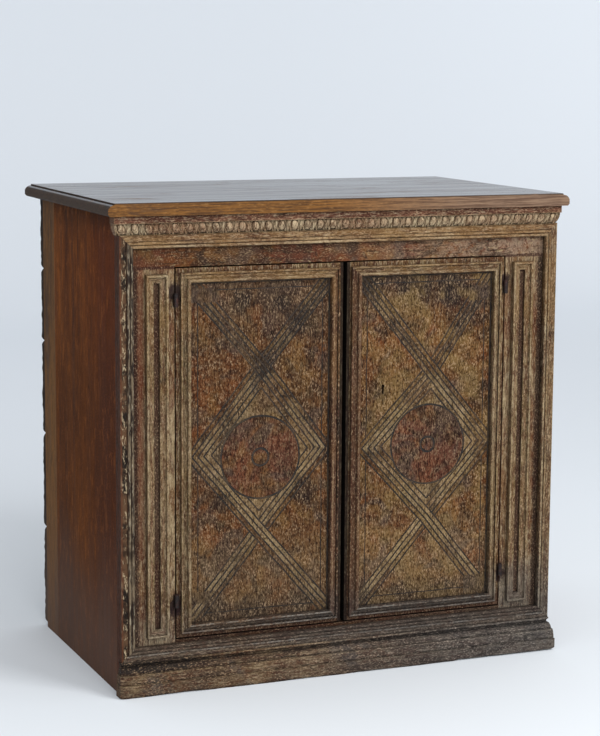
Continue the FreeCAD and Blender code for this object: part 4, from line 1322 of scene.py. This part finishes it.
def base_wear(column, row, x, z):
    """Knocks along the edges, an uneven foot and rubbed ends."""
    foot = max(0.0, 1 - z / FOOT_REACH)
    rubbed = max(0.0, 1 - min(column, BASE_COLUMNS - column) / 2)
    drawn = 4.0 * hollows(x * 16, z * 30, 3.0, 0.1) + 0.9 * grit(x * 70, z * 70, 7.0)
    drawn += foot * (1.0 + 2.5 * hollows(x * 9, 0.0, 11.0)) + 2.0 * rubbed
    lifted = 0.4 + 5.0 * hollows(x * 7, 0.0, 5.0)
    lifted += 3.0 * min(max((x - BROKEN_FOOT) / FOOT_REACH, 0.0), 1.0)
    if 0 <= column <= BASE_COLUMNS:
        lifted += 1.5 * rubbed
    return drawn * MM, foot * lifted * MM


def make_base():
    """The stepped base with its knocked edges."""
    # Heights and distances in front of the frame in mm, from the floor up
    profile = [(0.0, 0.0)] + [(z, 31.0) for z in (0.0, 6.0, 12.0, 19.0, 26.0)]
    profile += arc_rows((26.0, 28.0), (46.0, 25.0))
    profile += arc_rows((46.0, 21.0), (60.0, 8.0), count=8)
    profile += arc_rows((60.0, 8.0), (66.0, 13.0), hollow=True)[1:]
    profile += [(70.0, 13.0), (70.0, 0.0)]
    rows = []
    for z, proud in profile:
        overhang = BASE_OVERHANG * (max(proud * MM, BASE_NECK) - BASE_NECK) / (BASE_PROUD - BASE_NECK)
        rows.append((z * MM, proud * MM, BASE_OVERHANG - overhang))
    points, faces = returned_strip(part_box("base_moulding"), rows, BASE_COLUMNS, base_wear)
    piece = add_piece("worn_base", points, faces, "carcass", "painted_moulding", ("base",))
    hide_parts("base_moulding")


# Rough back planks

PLANKS = ("bottom", "lower", "middle", "upper", "top")
END_REACH = 36 * MM
JOINT_REACH = 6 * MM
FINE_STEP = 4 * MM
DEPTH_STEP = 6 * MM
LONG_STEP = 24 * MM


def ragged(x, y, z, low, high):
    """A point of a plank, drawn in where its end is broken and where its outer face is uneven."""
    side = -1 if x < (low[0] + high[0]) / 2 else 1
    from_end = (high[0] - x) if side > 0 else (x - low[0])
    fade = max(0.0, 1 - from_end / END_REACH)
    here = Vector((side * 3.0, y * 20, z * 22))
    bite = 1.2 + 1.6 * noise.noise(here) + 1.4 * noise.noise(here * 4.3)
    to_joint = min(z - low[2], high[2] - z)
    bite += 5.0 * max(0.0, 1 - to_joint / JOINT_REACH)
    x -= side * max(0.0, bite) * MM * fade ** 0.5
    if y > (low[1] + high[1]) / 2:
        y -= grit(x * 7, z * 26, 2.0) * 0.9 * MM
    return x, y, z


def grid_steps(low, high, step):
    count = max(1, round((high - low) / step))
    return [low + (high - low) * number / count for number in range(count + 1)]


def plank_steps(low, high):
    """Where a plank has points along each axis: close together at its ends."""
    near = low[0] + END_REACH
    far = high[0] - END_REACH
    xs = grid_steps(low[0], near, FINE_STEP)
    xs += grid_steps(near, far, LONG_STEP)[1:-1]
    xs += grid_steps(far, high[0], FINE_STEP)
    return xs, grid_steps(low[1], high[1], DEPTH_STEP), grid_steps(low[2], high[2], FINE_STEP)


def tube_faces(columns, count):
    """The faces between rings of points, each ring closed."""
    faces = []
    for start in range(0, (columns - 1) * count, count):
        for here, after in pairs_round(list(range(count))):
            faces.append((start + here, start + after, start + count + after, start + count + here))
    return faces


def make_plank(level):
    """One back plank with broken ends and an uneven outer face."""
    node = f"back_{level}_plank"
    low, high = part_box(node)
    xs, ys, zs = plank_steps(low, high)
    ring = [(y, zs[0]) for y in ys] + [(ys[-1], z) for z in zs[1:]]
    ring += [(y, zs[-1]) for y in reversed(ys[:-1])] + [(ys[0], z) for z in reversed(zs[1:-1])]
    points = [ragged(x, y, z, low, high) for x in xs for y, z in ring]
    faces = tube_faces(len(xs), len(ring))
    for x, order in ((xs[0], -1), (xs[-1], 1)):
        end_faces = grid_faces(len(ys), len(zs), len(points))
        faces += [face[::order] for face in end_faces]
        points += [ragged(x, y, z, low, high) for y in ys for z in zs]
    piece = add_piece(f"back_{level}_rough_plank", points, faces, "carcass", "back_wood", ("back",))
    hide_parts(node)


# Floor, lights and camera

FLOOR_FRONT = -9.0
FLOOR_HALF = 10.0
BEND_Y = 5.0
BEND_RADIUS = 2.4
BACKDROP_TOP = 7.0
SENSOR = 36.0
FOCAL_PIXELS = 2089.2
PICTURE_HEIGHT = 736


def make_stage():
    """A pale studio floor that curves up into a backdrop."""
    line = [(FLOOR_FRONT, 0.0), (BEND_Y, 0.0)]
    steps = 16
    for number in range(1, steps + 1):
        angle = math.pi / 2 * number / steps
        line.append((BEND_Y + BEND_RADIUS * math.sin(angle), BEND_RADIUS * (1 - math.cos(angle))))
    line.append((BEND_Y + BEND_RADIUS, BACKDROP_TOP))
    points = [(x, y, z) for y, z in line for x in (-FLOOR_HALF, FLOOR_HALF)]
    faces = [(2 * n, 2 * n + 1, 2 * n + 3, 2 * n + 2) for n in range(len(line) - 1)]
    mesh = bpy.data.meshes.new("studio_floor")
    mesh.from_pydata(points, [], faces)
    mesh.shade_smooth()
    floor = bpy.data.objects.new("studio_floor", mesh)
    bpy.context.collection.objects.link(floor)
    p = Paint("studio_paper")
    behind = p.ease(p.plus(p.axis("Y"), p.noise(0.8, 2)), 0.0, 4.0)
    colour = p.mix(behind, srgb(224, 229, 234), srgb(229, 234, 240))
    mesh.materials.append(p.finish(colour, 0.9, p.noise(200, 2), 0.05 * MM, 0.1))


def add_lamp(name, place, aim, size, power):
    lamp = bpy.data.lights.new(name, "AREA")
    lamp.shape = "SQUARE"
    lamp.size = size
    lamp.energy = power
    holder = bpy.data.objects.new(name, lamp)
    holder.location = place
    holder.rotation_euler = (Vector(aim) - Vector(place)).to_track_quat("-Z", "Y").to_euler()
    bpy.context.collection.objects.link(holder)


def make_lights():
    add_lamp("key_softbox", (2.2, -3.6, 3.4), (0.0, 0.0, 0.5), 2.0, 130)
    add_lamp("front_softbox", (-0.8, -5.4, 2.4), (0.0, 0.0, 0.5), 3.0, 150)
    add_lamp("backdrop_light", (6.0, 4.4, 2.8), (5.2, 7.4, 1.6), 1.6, 20)
    world = bpy.data.worlds.new("studio_air")
    world.use_nodes = True
    air = world.node_tree.nodes["Background"]
    air.inputs["Color"].default_value = (0.97, 0.985, 1.0, 1.0)
    air.inputs["Strength"].default_value = 0.74
    bpy.context.scene.world = world


def make_camera():
    """A long lens at the height and angle that fit the photograph's corners."""
    place = Vector((-1.7077, -4.1898, 1.3000))
    yaw = math.radians(22.432)
    pitch = math.radians(-8.701)
    roll = math.radians(0.384)
    forward = Vector((math.sin(yaw) * math.cos(pitch), math.cos(yaw) * math.cos(pitch), math.sin(pitch)))
    level = Vector((math.cos(yaw), -math.sin(yaw), 0.0))
    upright = level.cross(forward)
    right = level * math.cos(roll) + upright * math.sin(roll)
    up = upright * math.cos(roll) - level * math.sin(roll)
    camera = bpy.data.cameras.new("camera")
    camera.sensor_fit = "VERTICAL"
    camera.sensor_height = SENSOR
    camera.lens = SENSOR * FOCAL_PIXELS / PICTURE_HEIGHT
    holder = bpy.data.objects.new("camera", camera)
    holder.matrix_world = Matrix.Translation(place) @ Matrix((right, up, -forward)).transposed().to_4x4()
    bpy.context.collection.objects.link(holder)
    bpy.context.scene.camera = holder


dress_nodes()
for door_side, door_plan in DOORS.items():
    make_field(door_side, door_plan)
make_cornice()
make_base()
for plank_level in PLANKS:
    make_plank(plank_level)
make_stage()
make_lights()
make_camera()
bpy.context.scene.view_settings.view_transform = "Standard"
